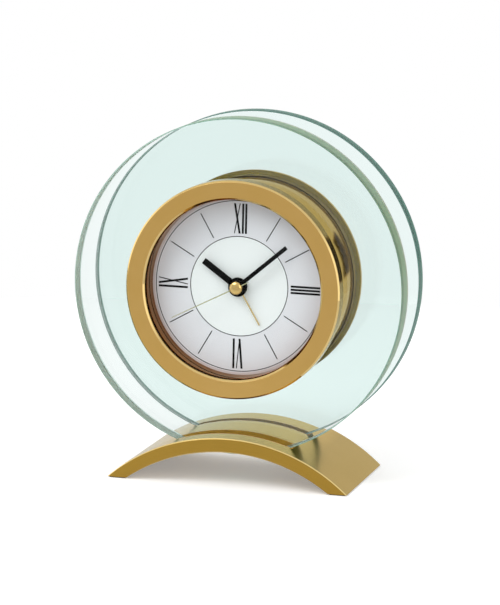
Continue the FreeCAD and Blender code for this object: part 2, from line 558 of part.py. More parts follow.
# Motor: stator plate with its core, coil on a bobbin
rotorLow = "rotorZ - axisHeight"
statorFront = "dialFront + statorLayer"
stator = cut("Stator", join("StatorWhole", [
    block("StatorPlate", "rotorX - statorHalf", "rotorX + statorHalf", statorFront, statorBack,
          "-statorFoot", rotorLow + " + statorHalf"),
    block("StatorCore", "rotorX - statorHalf", "coreRight", statorFront, statorBack,
          "-statorFoot", "coreHigh - statorFoot")]),
    [rod("RotorRoom", "statorHole", statorFront + " - overrun", statorBack + " + overrun",
         "rotorX", "rotorZ", "")])
keep(stator, "stator_plate")


def alongX(name, radius, left, right, y, z):
    item = doc.addObject("Part::Cylinder", name)
    bind(item, "Radius", radius)
    bind(item, "Height", "(%s) - (%s)" % (right, left))
    item.Placement = FreeCAD.Placement(FreeCAD.Vector(), FreeCAD.Rotation(FreeCAD.Vector(0, 1, 0), 90))
    bind(item, "Placement.Base.x", left)
    bind(item, "Placement.Base.y", y)
    bind(item, "Placement.Base.z", "axisHeight + " + z)
    return item


coilY = statorFront + " + statorThick / 2"
coreRoom = block("CoreRoom", "-coilLeft - overrun", "coilRight + overrun", statorFront + " - coreFit",
                 statorBack + " + coreFit", "-statorFoot - coreFit", "coreHigh - statorFoot + coreFit")
bobbin = join("BobbinWhole", [
    alongX("BobbinSleeve", "coilSleeve", "-coilLeft", "coilRight", coilY, coreMiddle),
    alongX("BobbinLeft", "coilRadius", "-coilLeft", "-coilLeft + bobbinEnd", coilY, coreMiddle),
    alongX("BobbinRight", "coilRadius", "coilRight - bobbinEnd", "coilRight", coilY, coreMiddle)])
keep(cut("Bobbin", bobbin, [coreRoom]), "coil_bobbin")
windingRod = alongX("WindingRod", "coilRadius - pressFit", "-coilLeft + bobbinEnd", "coilRight - bobbinEnd",
                    coilY, coreMiddle)
windingRoom = alongX("WindingRoom", "coilSleeve + pressFit", "-coilLeft", "coilRight", coilY, coreMiddle)
keep(cut("Winding", windingRod, [windingRoom]), "coil_winding")

# Circuit board on its posts, with control chip and crystal, and the buzzer on the cover
boardBack = "partitionFront - boardGap"
boardFront = boardBack + " - boardThick"
boardMiddle = "(boardLeft + boardRight) / 2"
keep(block("Board", "boardLeft", "boardRight", boardFront, boardBack, "boardLow", "boardHigh"),
     "circuit_board")
keep(block("Chip", boardMiddle + " - chipHalf", boardMiddle + " + chipHalf", boardFront + " - chipThick",
           boardFront, "boardLow + chipHalf", "boardLow + 3 * chipHalf"), "control_chip")
crystal = doc.addObject("Part::Cylinder", "Crystal")
bind(crystal, "Radius", "crystalRadius")
bind(crystal, "Height", "crystalLong")
bind(crystal, "Placement.Base.x", boardMiddle)
bind(crystal, "Placement.Base.y", boardFront + " - crystalRadius")
bind(crystal, "Placement.Base.z", "axisHeight + boardHigh - crystalLong - crystalRadius")
keep(crystal, "quartz_crystal")
keep(rod("Buzzer", "buzzerRadius", "coverFront - buzzerThick", "coverFront", "buzzerX", "buzzerZ"), "buzzer")

# Battery cell lying across the bay, between its two contacts
cellY = "bayFloor + cellLift + cellRadius"
nubTip = "bayHalf - contactFit - contactThick - contactFit"
cellRight = "(%s) - nubLong" % nubTip
keep(join("Cell", [alongX("CellBody", "cellRadius", "(%s) - cellLong" % cellRight, cellRight, cellY,
                          "bayCentre"),
                   alongX("CellNub", "nubRadius", cellRight, nubTip, cellY, "bayCentre")]), "battery_cell")
for side, low, high in (("Positive", "bayHalf - contactFit - contactThick", "bayHalf - contactFit"),
                        ("Negative", "-bayHalf + contactFit", "-bayHalf + contactFit + contactThick")):
    strip = block(side + "Strip", low, high, "bayFloor", cellY + " + contactHalf", "bayCentre - contactHalf",
                  "bayCentre + contactHalf")
    if side == "Negative":
        spring = doc.addObject("Part::Cone", "ContactSpring")
        spring.Placement = FreeCAD.Placement(FreeCAD.Vector(), FreeCAD.Rotation(FreeCAD.Vector(0, 1, 0), 90))
        bind(spring, "Radius1", "springRoot")
        bind(spring, "Radius2", "springTip")
        bind(spring, "Height", "(%s) - cellLong - contactFit - (%s)" % (cellRight, high))
        bind(spring, "Placement.Base.x", high)
        bind(spring, "Placement.Base.y", cellY)
        bind(spring, "Placement.Base.z", "axisHeight + bayCentre")
        strip = join("NegativeWhole", [strip, spring])
    keep(strip, side.lower() + "_contact")
doc.recompute()


# Pieces below are cut from outlines worked out here, from the sheet's values
def feature(label, shape):
    thing = doc.addObject("Part::Feature", label.title().replace("_", ""))
    thing.Shape = shape
    return keep(thing, label)


def spun(radius, front, back, x=0, z=None):
    height = val("axisHeight") if z is None else z
    return Part.makeCylinder(radius, back - front, FreeCAD.Vector(x, front, height), FreeCAD.Vector(0, 1, 0))


def pressed(points, front, thick):
    face = Part.Face(Part.makePolygon([FreeCAD.Vector(x, front, z) for x, z in points + points[:1]]))
    return face.extrude(FreeCAD.Vector(0, thick, 0))


def involute(angle):
    return math.tan(angle) - angle


# Spur gear outline: stub involute teeth, thinned for backlash, first tooth at the phase angle
def gear(teeth, module, phase, front, thick, x=0, z=None):
    height = val("axisHeight") if z is None else z
    pitch = module * teeth / 2
    lean = math.radians(val("pressureAngle"))
    base = pitch * math.cos(lean)
    tip = pitch + module * val("tipShare")
    root = pitch - module * val("rootShare")
    half = (math.pi / 2 - val("slackShare")) / teeth
    low = max(base, root)
    flank = []
    for share in (0, 1 / 2, 1):
        radius = low + (tip - low) * share
        flank.append((radius, half + involute(lean) - involute(math.acos(min(1, base / radius)))))
    if root < low:
        flank.insert(0, (root, flank[0][1]))
    points = []
    for tooth in range(int(teeth)):
        middle = phase + 2 * math.pi * tooth / teeth
        for radius, spread in flank:
            points.append((radius, middle - spread))
        for radius, spread in reversed(flank):
            points.append((radius, middle + spread))
    return pressed([(x + r * math.cos(a), height + r * math.sin(a)) for r, a in points], front, thick)


# Phase that sets a gap of the second gear on a tooth of the first, seen along the line between them
def meshed(teeth, phase, bearing, otherTeeth):
    along = ((bearing - phase) * teeth / (2 * math.pi)) % 1
    return bearing + math.pi - (1 / 2 - along) * 2 * math.pi / otherTeeth


def layer(name):
    return val("dialFront") + val(name)


thick = val("wheelThick")
over = val("leafOver")
arborRadius = val("arborRadius")
arbors = ("fifth", "rotor", "third", "minute", "timeSet", "alarm")
bearingOf = {word: math.radians(val(word + "Bearing")) for word in arbors}
spotOf = {word: (val(word + "X"), val(word + "Z")) for word in arbors}
rearPivot = val("partitionFront") + val("pivotDeep") - val("pivotFit")

# Going train, from the seconds arbor outwards
secondPhase = 0
fifthLeafPhase = meshed(val("secondTeeth"), secondPhase, bearingOf["fifth"], val("fifthLeaves"))
rotorPhase = meshed(val("fifthTeeth"), 0, bearingOf["rotor"], val("rotorLeaves"))
thirdPhase = meshed(val("secondLeaves"), 0, bearingOf["third"], val("thirdTeeth"))
centrePhase = meshed(val("thirdLeaves"), 0, bearingOf["third"] + math.pi, val("centreTeeth"))
secondWheel = gear(val("secondTeeth"), val("fifthModule"), secondPhase, layer("secondLayer"), thick)
secondLeaves = gear(val("secondLeaves"), val("secondModule"), 0, layer("thirdLayer") - over,
                    layer("secondLayer") - layer("thirdLayer") + over)
secondFront = val("dialFront") - val("secondHigh") - val("secondDome") / 2
secondArbor = spun(arborRadius, secondFront, rearPivot)
feature("seconds_wheel", secondWheel.fuse([secondLeaves, secondArbor]).removeSplitter())

x, z = spotOf["fifth"]
fifthWheel = gear(val("fifthTeeth"), val("rotorModule"), 0, layer("fifthLayer"), thick, x, z)
fifthLeaves = gear(val("fifthLeaves"), val("fifthModule"), fifthLeafPhase, layer("secondLayer") - over,
                   layer("fifthLayer") - layer("secondLayer") + over, x, z)
fifthArbor = spun(arborRadius, val("middleFront"), rearPivot, x, z)
feature("fifth_wheel", fifthWheel.fuse([fifthLeaves, fifthArbor]).removeSplitter())

x, z = spotOf["rotor"]
rotorLeaves = gear(val("rotorLeaves"), val("rotorModule"), rotorPhase, layer("fifthLayer") - over,
                   layer("magnetLayer") - layer("fifthLayer") + over, x, z)
rotorArbor = spun(arborRadius, val("middleFront"), rearPivot, x, z)
feature("rotor_pinion", rotorLeaves.fuse(rotorArbor).removeSplitter())
magnetFront = layer("magnetLayer")
magnet = spun(val("magnetRadius"), magnetFront, magnetFront + val("magnetLong"), x, z)
feature("rotor_magnet", magnet.cut(spun(arborRadius + val("pressFit"), magnetFront - val("overrun"),
                                        magnetFront + val("magnetLong") + val("overrun"), x, z)))

x, z = spotOf["third"]
thirdWheel = gear(val("thirdTeeth"), val("secondModule"), thirdPhase, layer("thirdLayer"), thick, x, z)
thirdModule = 2 * val("thirdReach") / (val("thirdLeaves") + val("centreTeeth"))
thirdLeaves = gear(val("thirdLeaves"), thirdModule, 0, layer("centreLayer") - over, thick + 2 * over, x, z)
thirdArbor = spun(arborRadius, val("plateBack") - val("pivotDeep") + val("pivotFit"), rearPivot, x, z)
feature("third_wheel", thirdWheel.fuse([thirdLeaves, thirdArbor]).removeSplitter())

centreWheel = gear(val("centreTeeth"), thirdModule, centrePhase, layer("centreLayer"), thick)
seatRadius = val("minutePipe")
seatHole = spun(seatRadius + val("pipeFit"), layer("centreLayer") - over, layer("centreLayer") + thick + over)
feature("centre_wheel", centreWheel.cut(seatHole))

# Motion work: minute pipe with its cannon pinion, minute wheel, hour wheel
cannonFront = layer("motionLayer") - over
cannonBack = layer("centreLayer") - val("pipeFit")
minuteFront = val("dialFront") - val("minuteHigh")
cannon = gear(val("cannonLeaves"), val("cannonModule"), 0, cannonFront, cannonBack - cannonFront)
pipe = spun(val("minutePipe"), minuteFront - val("handThick"), val("middleFront") - val("pipeFit"))
minutePipeHole = spun(val("minutePipeBore"), minuteFront - 2 * val("overrun"), val("middleFront"))
feature("minute_pipe", cannon.fuse(pipe).cut(minutePipeHole).removeSplitter())

minutePhase = meshed(val("cannonLeaves"), 0, bearingOf["minute"], val("minuteTeeth"))
x, z = spotOf["minute"]
hourModule = 2 * val("minuteReachC") / (val("minuteLeaves") + val("hourTeeth"))
minuteWheel = gear(val("minuteTeeth"), val("cannonModule"), minutePhase, layer("motionLayer"), thick, x, z)
minuteLeaves = gear(val("minuteLeaves"), hourModule, 0, layer("hourLayer") - over,
                    layer("motionLayer") - layer("hourLayer") + over, x, z)
studBack = layer("motionLayer") + thick + over
studHole = spun(val("studRadius") + val("pivotFit"), val("plateBack"), studBack, x, z)
feature("minute_wheel", minuteWheel.fuse(minuteLeaves).cut(studHole).removeSplitter())
feature("minute_wheel_stud", spun(val("studRadius"), val("plateFront"), studBack, x, z))

hourPhase = meshed(val("minuteLeaves"), 0, bearingOf["minute"] + math.pi, val("hourTeeth"))
hourFront = val("dialFront") - val("hourHigh")
hourWheel = gear(val("hourTeeth"), hourModule, hourPhase, layer("hourLayer"), thick)
hourPipe = spun(val("hourPipe"), hourFront - val("handThick"), cannonFront - val("pipeFit"))
hourHole = spun(val("hourPipeBore"), hourFront - 2 * val("overrun"), cannonFront + val("overrun"))
feature("hour_wheel", hourWheel.fuse(hourPipe).cut(hourHole).removeSplitter())

# Alarm wheel, and the two setting arbors that run back to the knobs
alarmFront = val("dialFront") - val("alarmHigh")
alarmWheel = gear(val("alarmTeeth"), val("alarmModule"), 0, layer("alarmLayer"), thick)
alarmPipe = spun(val("alarmPipe"), alarmFront - val("handThick"), layer("alarmLayer") + thick)
alarmHole = spun(val("alarmPipeBore"), alarmFront - val("overrun"), layer("motionLayer"))
feature("alarm_wheel", alarmWheel.fuse(alarmPipe).cut(alarmHole).removeSplitter())
alarmLeafPhase = meshed(val("alarmTeeth"), 0, bearingOf["alarm"], val("alarmLeaves"))
timeLeafPhase = meshed(val("minuteTeeth"), minutePhase, bearingOf["timeSet"], val("timeSetLeaves"))
arborFront = val("plateBack") - val("pivotDeep") + val("pivotFit")
arborBack = val("knobFront") + val("knobGrip") - val("pressFit")
for which, label, leaves, module, phase, level in (
        ("alarm", "alarm_set_arbor", "alarmLeaves", "alarmModule", alarmLeafPhase, "alarmLayer"),
        ("timeSet", "time_set_arbor", "timeSetLeaves", "cannonModule", timeLeafPhase, "motionLayer")):
    x, z = spotOf[which]
    leafFront = max(layer(level) - over, val("plateBack") + val("pipeFit"))
    pinion = gear(val(leaves), val(module), phase, leafFront, layer(level) + thick + over - leafFront, x, z)
    feature(label, pinion.fuse(spun(val("setArborRadius"), arborFront, arborBack, x, z)).removeSplitter())


# A hand: outline across and along its own line, turned clockwise from twelve, on a bored hub
def swung(points, turn):
    angle = math.radians(turn)
    return [(u * math.cos(angle) + v * math.sin(angle),
             val("axisHeight") - u * math.sin(angle) + v * math.cos(angle)) for u, v in points]


def hand(label, points, turn, hub, bore, high):
    front = val("dialFront") - val(high) - val("handThick")
    blade = pressed(swung(points, val(turn)), front, val("handThick"))
    boss = spun(val(hub), front, front + val("handThick") + val("hubDeep"))
    hole = spun(val(bore) + val("pressFit"), front - val("overrun"), front + 2 * val("overrun"))
    feature(label, blade.fuse(boss).cut(hole).removeSplitter())


def baton(reach, wide):
    side = val(wide) / 2
    return [(-side, 0), (side, 0), (side, val(reach)), (-side, val(reach))]


hand("hour_hand", baton("hourReach", "hourWide"), "hourTurn", "hourHub", "hourPipe", "hourHigh")
hand("minute_hand", baton("minuteReach", "minuteWide"), "minuteTurn", "minuteHub", "minutePipe", "minuteHigh")
hand("alarm_hand", baton("alarmReach", "alarmWide"), "alarmTurn", "alarmHub", "alarmPipe", "alarmHigh")
secondSide = val("secondRoot") / 2
tipSide = val("secondTip") / 2
secondBlade = [(-tipSide, -val("secondTail")), (tipSide, -val("secondTail")), (secondSide, 0),
               (tipSide, val("secondReach")), (-tipSide, val("secondReach")), (-secondSide, 0)]
secondPlane = val("dialFront") - val("secondHigh")
secondThick = val("handThick") / 2
blade = pressed(swung(secondBlade, val("secondTurn")), secondPlane - secondThick, secondThick)
domeRadius = (val("secondHub") ** 2 + val("secondDome") ** 2) / (2 * val("secondDome"))
domeFront = secondPlane - secondThick - val("secondDome")
ball = Part.makeSphere(domeRadius, FreeCAD.Vector(0, domeFront + domeRadius, val("axisHeight")))
dome = ball.common(spun(val("secondHub"), domeFront - val("overrun"), secondPlane - secondThick))
collar = spun(val("secondHub"), secondPlane - secondThick, secondPlane)
hubHole = spun(arborRadius + val("pressFit"), secondFront - val("pressFit"), secondPlane + val("overrun"))
feature("second_hand", blade.fuse([dome, collar]).cut(hubHole).removeSplitter())


# Printed dial: two rings, eight hour lines and four numerals that stand along the radius
inkFront = val("dialFront") - val("inkThick")
marks = []


# A straight stroke between the numerals' two radii, from its foot to its head
def stroke(foot, head, wide, turn, inner="numeralInner", outer="numeralOuter"):
    side = val(wide) / 2
    corners = [(foot - side, val(inner)), (foot + side, val(inner)), (head + side, val(outer)),
               (head - side, val(outer))]
    return pressed(swung(corners, turn), inkFront, val("inkThick"))


def numeral(letters, turn):
    widths = [0 if letter == "I" else 2 * val("crossHalf") for letter in letters]
    left = -(sum(widths) + val("strokePitch") * (len(letters) - 1)) / 2
    for letter, wide in zip(letters, widths):
        middle = left + wide / 2
        right = left + wide
        if letter == "I":
            marks.append(stroke(left, left, "strokeWide", turn))
        else:
            feet = (middle, middle) if letter == "V" else (right, left)
            heavy = stroke(feet[0], left, "strokeWide", turn)
            marks.append(heavy.fuse(stroke(feet[1], right, "hairWide", turn)).removeSplitter())
        left = right + val("strokePitch")


for radius in (val("outerRing"), val("innerRing")):
    side = val("ringWide") / 2
    marks.append(spun(radius + side, inkFront, val("dialFront")).cut(
        spun(radius - side, inkFront - val("overrun"), val("dialFront") + val("overrun"))))
for hour in range(1, 13):
    turn = 360 * hour / 12
    if hour % 3 == 0:
        numeral({3: "III", 6: "VI", 9: "IX", 12: "XII"}[hour], turn)
    else:
        marks.append(stroke(0, 0, "markWide", turn, "markInner", "markOuter"))
feature("dial_markings", Part.makeCompound(marks))


# Slotted screws, each head seated in its counterbore
def screw(x, z, seat, reach):
    sign = 1 if reach > seat else -1
    along = FreeCAD.Vector(0, sign, 0)
    headTop = seat - sign * val("screwHeadHigh")
    head = Part.makeCylinder(val("screwHead"), val("screwHeadHigh"), FreeCAD.Vector(x, headTop, z), along)
    shank = Part.makeCylinder(val("screwRadius"), abs(reach - seat), FreeCAD.Vector(x, seat, z), along)
    wide = val("screwSlotWide")
    low = min(headTop, headTop + sign * val("screwSlotDeep"))
    slotBox = Part.makeBox(2 * val("screwHead") + val("overrun"), val("screwSlotDeep"), wide)
    slotBox.translate(FreeCAD.Vector(x - val("screwHead") - val("overrun") / 2, low, z - wide / 2))
    return head.fuse(shank).removeSplitter().cut(slotBox)


caseScrews = []
for bearing in screwBearings:
    x = val("bossPlace") * math.cos(math.radians(bearing))
    z = val("axisHeight") + val("bossPlace") * math.sin(math.radians(bearing))
    caseScrews.append(screw(x, z, val("coverBack") - val("screwHeadHigh"),
                            val("holderBack") - val("screwLong") + val("screwFit")))
feature("cover_screws", Part.makeCompound(caseScrews))
plateScrews = []
seat = val("plateFront") + val("screwHeadHigh")
for x in (-val("pillarPlace"), val("pillarPlace")):
    for z in (-val("pillarPlace"), val("pillarPlace")):
        plateScrews.append(screw(x, val("axisHeight") + z, seat, seat + val("screwLong") - val("screwFit")))
feature("movement_screws", Part.makeCompound(plateScrews))
doc.recompute()

# Nothing is written unless every object is sound
for thing in doc.Objects:
    if "Invalid" in thing.State or "Error" in thing.State:
        raise RuntimeError("%s is %s" % (thing.Name, thing.State))
for thing in kept:
    if thing.Shape.isNull() or not thing.Shape.isValid() or not thing.Shape.Solids:
        raise RuntimeError("%s has no sound solid" % thing.Label)
os.makedirs("parts", exist_ok=True)
for thing in kept:
    thing.Shape.exportStep("parts/%s.step" % thing.Label)
print("%d sub-parts written" % len(kept))
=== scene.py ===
import math
import bmesh
import bpy
import numpy as np
from mathutils import Matrix, Vector


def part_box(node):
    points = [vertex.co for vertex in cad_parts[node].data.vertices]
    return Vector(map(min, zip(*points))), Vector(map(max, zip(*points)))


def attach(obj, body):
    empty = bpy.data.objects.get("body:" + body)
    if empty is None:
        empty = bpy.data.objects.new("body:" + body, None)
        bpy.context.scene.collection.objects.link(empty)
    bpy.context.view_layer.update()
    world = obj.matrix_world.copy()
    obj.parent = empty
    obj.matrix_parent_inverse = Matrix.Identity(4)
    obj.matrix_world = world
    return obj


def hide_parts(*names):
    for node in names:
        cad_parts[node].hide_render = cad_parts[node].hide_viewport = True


# Desk alarm clock: two tinted glass discs in an arched gold base, with a gold drum, dial and hands.
# Metres; +Z is up and the dial faces -Y.

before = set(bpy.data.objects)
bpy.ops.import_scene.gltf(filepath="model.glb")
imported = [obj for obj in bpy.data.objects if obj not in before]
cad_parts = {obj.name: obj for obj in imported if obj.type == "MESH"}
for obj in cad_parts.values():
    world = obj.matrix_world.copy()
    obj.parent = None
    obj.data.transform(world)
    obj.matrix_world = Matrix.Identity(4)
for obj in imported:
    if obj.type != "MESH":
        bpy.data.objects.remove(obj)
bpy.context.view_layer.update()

mm = 0.001
discLow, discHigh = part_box("front_glass_disc")
axisX = (discLow.x + discHigh.x) / 2
axisZ = (discLow.z + discHigh.z) / 2
discFront = discLow.y


def ringOf(node):                       # front, back, bore and outer radius of a round node
    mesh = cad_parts[node].data
    points = np.empty(len(mesh.vertices) * 3)
    mesh.vertices.foreach_get("co", points)
    points = points.reshape(-1, 3)
    reach = np.hypot(points[:, 0] - axisX, points[:, 2] - axisZ)
    return points[:, 1].min(), points[:, 1].max(), reach.min(), reach.max()


# Shader sums
class Wire:
    # One socket of a node tree. Sums on wires and numbers add Math nodes.
    def __init__(self, tree, socket=None):
        self.tree = tree
        self.socket = socket

    def add(self, kind, settings=None, sockets=None, output=0):
        node = self.tree.nodes.new("ShaderNode" + kind)
        for name, value in (settings or {}).items():
            setattr(node, name, value)
        for name, value in (sockets or {}).items():
            if isinstance(value, Wire):
                self.tree.links.new(value.socket, node.inputs[name])
            else:
                node.inputs[name].default_value = value
        return Wire(self.tree, node.outputs[output]) if node.outputs else None

    def sum(self, operation, first, second=0.0):
        return self.add("Math", {"operation": operation}, {0: first, 1: second})

    def __add__(self, other):
        return self.sum("ADD", self, other)

    def __radd__(self, other):
        return self.sum("ADD", other, self)

    def __sub__(self, other):
        return self.sum("SUBTRACT", self, other)

    def __rsub__(self, other):
        return self.sum("SUBTRACT", other, self)

    def __mul__(self, other):
        return self.sum("MULTIPLY", self, other)

    def __pow__(self, other):
        return self.sum("POWER", self, other)

    def most(self, other):
        return self.sum("MAXIMUM", self, other)

    def ramp(self, low, high):          # 0 below low, 1 above high, straight between
        return self.add("MapRange", {"clamp": True}, {0: self, 1: low, 2: high, 3: 0.0, 4: 1.0})

    def parts(self):
        split = self.add("SeparateXYZ", None, {0: self})
        outputs = split.socket.node.outputs
        return [Wire(self.tree, outputs[i]) for i in range(3)]

    def mix(self, first, second):       # this wire is the share of the second colour
        first, second = [linear(colour) if isinstance(colour, str) else colour for colour in (first, second)]
        return self.add("Mix", {"data_type": "RGBA"}, {0: self, 6: first, 7: second}, output=2)


def linear(code):                       # sRGB hex to Blender's linear colour
    parts = [int(code[i:i + 2], 16) / 255 for i in (0, 2, 4)]
    return [p / 12.92 if p <= 0.04045 else ((p + 0.055) / 1.055) ** 2.4 for p in parts] + [1.0]


def startLook(name):
    material = bpy.data.materials.new(name)
    material.use_nodes = True
    material.node_tree.nodes.clear()
    return material, Wire(material.node_tree)


def endLook(wire, sockets):
    wire.add("OutputMaterial", None, {"Surface": wire.add("BsdfPrincipled", None, sockets)})


def grain(wire, scale, detail=2.0, roughness=0.5, vector=None):
    where = vector or wire.add("TexCoord", output="Object")
    sockets = {"Vector": where, "Scale": scale, "Detail": detail, "Roughness": roughness}
    return wire.add("TexNoise", None, sockets)


def bump(wire, height, strength, distance, under=None):
    sockets = {"Height": height, "Strength": strength, "Distance": distance}
    if under:
        sockets["Normal"] = under
    return wire.add("Bump", None, sockets)


def roundPlaces(wire):                  # reach from the clock's axis, depth, and X and Z from the axis
    x, y, z = wire.add("TexCoord", output="Object").parts()
    x = x - axisX
    z = z - axisZ
    return (x * x + z * z) ** 0.5, y, x, z


# Finishes: colours as sRGB hex codes
white = (1.0, 1.0, 1.0, 1.0)
# In goldLook, edge is a paler gold painted on the bezel's chamfer as a painted highlight, and side is a
# deeper gold painted beyond it as painted shade.
goldLook = {
    "colour": "D0AA66", "warm": "C7A057", "edge": "D4B87C", "side": "8C6C34", "shine": "F1E8D0",
    "satin": 0.34, "polished": 0.06, "polishSpread": 0.05, "lineSpread": 0.10, "cloudSpread": 0.06,
    "grainDepth": 0.02 * mm, "lineCount": 1500, "lineDriftX": 12.0, "lineDriftZ": 9.0, "soft": 0.05 * mm,
}


def satinGold(name, faceEnds=None):
    # Fine turned lines round the axis. faceEnds holds the depths between which the satin of the flat face
    # fades out, and the depth where its chamfer ends; all beyond the face is polished.
    # The chamfer is painted a paler gold as a painted highlight, and all beyond the face and chamfer is
    # painted a deeper gold as painted shade.
    material, wire = startLook(name)
    reach, depth, x, z = roundPlaces(wire)
    lines = wire.add("CombineXYZ", None, {
        0: reach * goldLook["lineCount"], 1: depth * goldLook["lineCount"],
        2: x * goldLook["lineDriftX"] + z * goldLook["lineDriftZ"]})
    turned = grain(wire, scale=1.0, detail=3.0, roughness=0.6, vector=lines)
    cloudy = grain(wire, scale=60.0)
    roughness = goldLook["satin"] + (turned - 0.5) * goldLook["lineSpread"]
    roughness = roughness + (cloudy - 0.5) * goldLook["cloudSpread"]
    colour = cloudy.mix(goldLook["colour"], goldLook["warm"])
    if faceEnds:
        fadeStart, fadeEnd, chamferEnd = faceEnds
        face = 1.0 - depth.ramp(fadeStart, fadeEnd)
        roughness = goldLook["polished"] + face * (roughness - goldLook["polished"])
        chamferHighlight = (1.0 - face) * (1.0 - depth.ramp(chamferEnd, chamferEnd + goldLook["soft"]))
        colour = chamferHighlight.mix(face.mix(goldLook["side"], colour), goldLook["edge"])
    endLook(wire, {"Base Color": colour, "Metallic": 1.0, "Roughness": roughness,
                   "Specular Tint": linear(goldLook["shine"]),
                   "Normal": bump(wire, turned, strength=0.10, distance=goldLook["grainDepth"])})
    return material


def polishedGold(name, colour, warm, crown=None):
    # A crown is a faint swelling: its height falls by slope / (2 reach) times the square of the distance
    # from its middle depth, so that the surface leans by the slope at that reach.
    material, wire = startLook(name)
    cloudy = grain(wire, scale=45.0)
    swelling = None
    if crown:
        away = roundPlaces(wire)[1] - crown["middle"]
        height = away * away * (-crown["slope"] / (2 * crown["reach"]))
        swelling = bump(wire, height, strength=1.0, distance=1.0)
    fine = grain(wire, scale=900.0)
    shape = bump(wire, fine, strength=0.03, distance=goldLook["grainDepth"], under=swelling)
    endLook(wire, {"Base Color": cloudy.mix(colour, warm), "Metallic": 1.0,
                   "Roughness": goldLook["polished"] + cloudy * goldLook["polishSpread"],
                   "Specular Tint": linear(goldLook["shine"]), "Normal": shape})
    return material


# In baseLook, crown and edge are painted highlights on the crown and the bevels, and front is painted shade
# on the flat faces.
baseLook = {
    "top": "BA9B56", "warm": "B0914A", "crown": "DAB464", "front": "A68438", "edge": "E4CC8E",
    "grazing": "E7E7DB", "brushed": 0.2, "lineSpread": 0.12, "cloudSpread": 0.05, "lineDrift": 25.0,
    "faceFrom": 0.06 * mm, "soft": 0.03 * mm,
}


def brushedGold(name, arcCentre, depthHalf, bevel, highlightLow, highlightHigh):
    # Brushing follows the arch: it is fine across the band and long along its arc. Its crown has a painted
    # highlight (a brighter gold), the two flat faces have painted shade (a deeper gold), and the bevels have
    # a painted highlight.
    material, wire = startLook(name)
    x, y, height = wire.add("TexCoord", output="Object").parts()
    z = height - arcCentre
    reach = (x * x + z * z) ** 0.5
    lines = wire.add("CombineXYZ", None, {
        0: reach * goldLook["lineCount"], 1: y * goldLook["lineCount"], 2: x * baseLook["lineDrift"]})
    brushed = grain(wire, scale=1.0, detail=3.0, roughness=0.65, vector=lines)
    cloudy = grain(wire, scale=30.0)
    away = wire.sum("ABSOLUTE", y)
    # Painted shade on the flat faces and a painted highlight on the bevels.
    flat = away.ramp(depthHalf - baseLook["faceFrom"], depthHalf - baseLook["soft"])
    edge = away.ramp(depthHalf - bevel, depthHalf - bevel + baseLook["soft"])
    top = cloudy.mix(baseLook["top"], baseLook["warm"])
    # Painted highlight: a brighter gold over the crown.
    top = height.ramp(highlightLow, highlightHigh).mix(top, baseLook["crown"])
    colour = flat.mix(edge.mix(top, baseLook["edge"]), baseLook["front"])
    roughness = baseLook["brushed"] + (brushed - 0.5) * baseLook["lineSpread"]
    endLook(wire, {"Base Color": colour, "Metallic": 1.0, "Specular Tint": linear(baseLook["grazing"]),
                   "Roughness": roughness + (cloudy - 0.5) * baseLook["cloudSpread"],
                   "Normal": bump(wire, brushed, strength=0.08, distance=goldLook["grainDepth"])})
    return material


glassLook = {
    "absorb": (0.42, 0.76, 0.70, 1.0), "ior": 1.51, "shine": 0.2, "clearRimRough": 0.06,
    "rimFrom": 0.45 * mm, "rimTo": 0.35 * mm, "lineFrom": 1.2 * mm, "lineTo": 4.0 * mm,
    "farFrom": 3.2 * mm, "farTo": 1.2 * mm, "groundShare": 0.92, "groundRough": 0.45, "roughSpread": 0.1,
    "gilt": "C9A65A", "giltWarm": "B99448", "giltRough": 0.28, "giltTo": 0.02 * mm, "giltEnd": 0.04 * mm,
}
# Rim colours are painted light: line is painted shade along the front edge, far is a painted highlight along
# the back edge, and the rear rim is painted darker throughout as painted shade.
frontRim = {"pale": "A2D8B8", "deep": "8AC4A4", "line": "63987F", "far": "DCF2E8", "through": 0.7,
            "density": 16.0}
shadedRearRim = {"pale": "2A7864", "deep": "1B5A4A", "line": "164E40", "far": "4A8674", "through": 0.5,
           "density": 38.0}


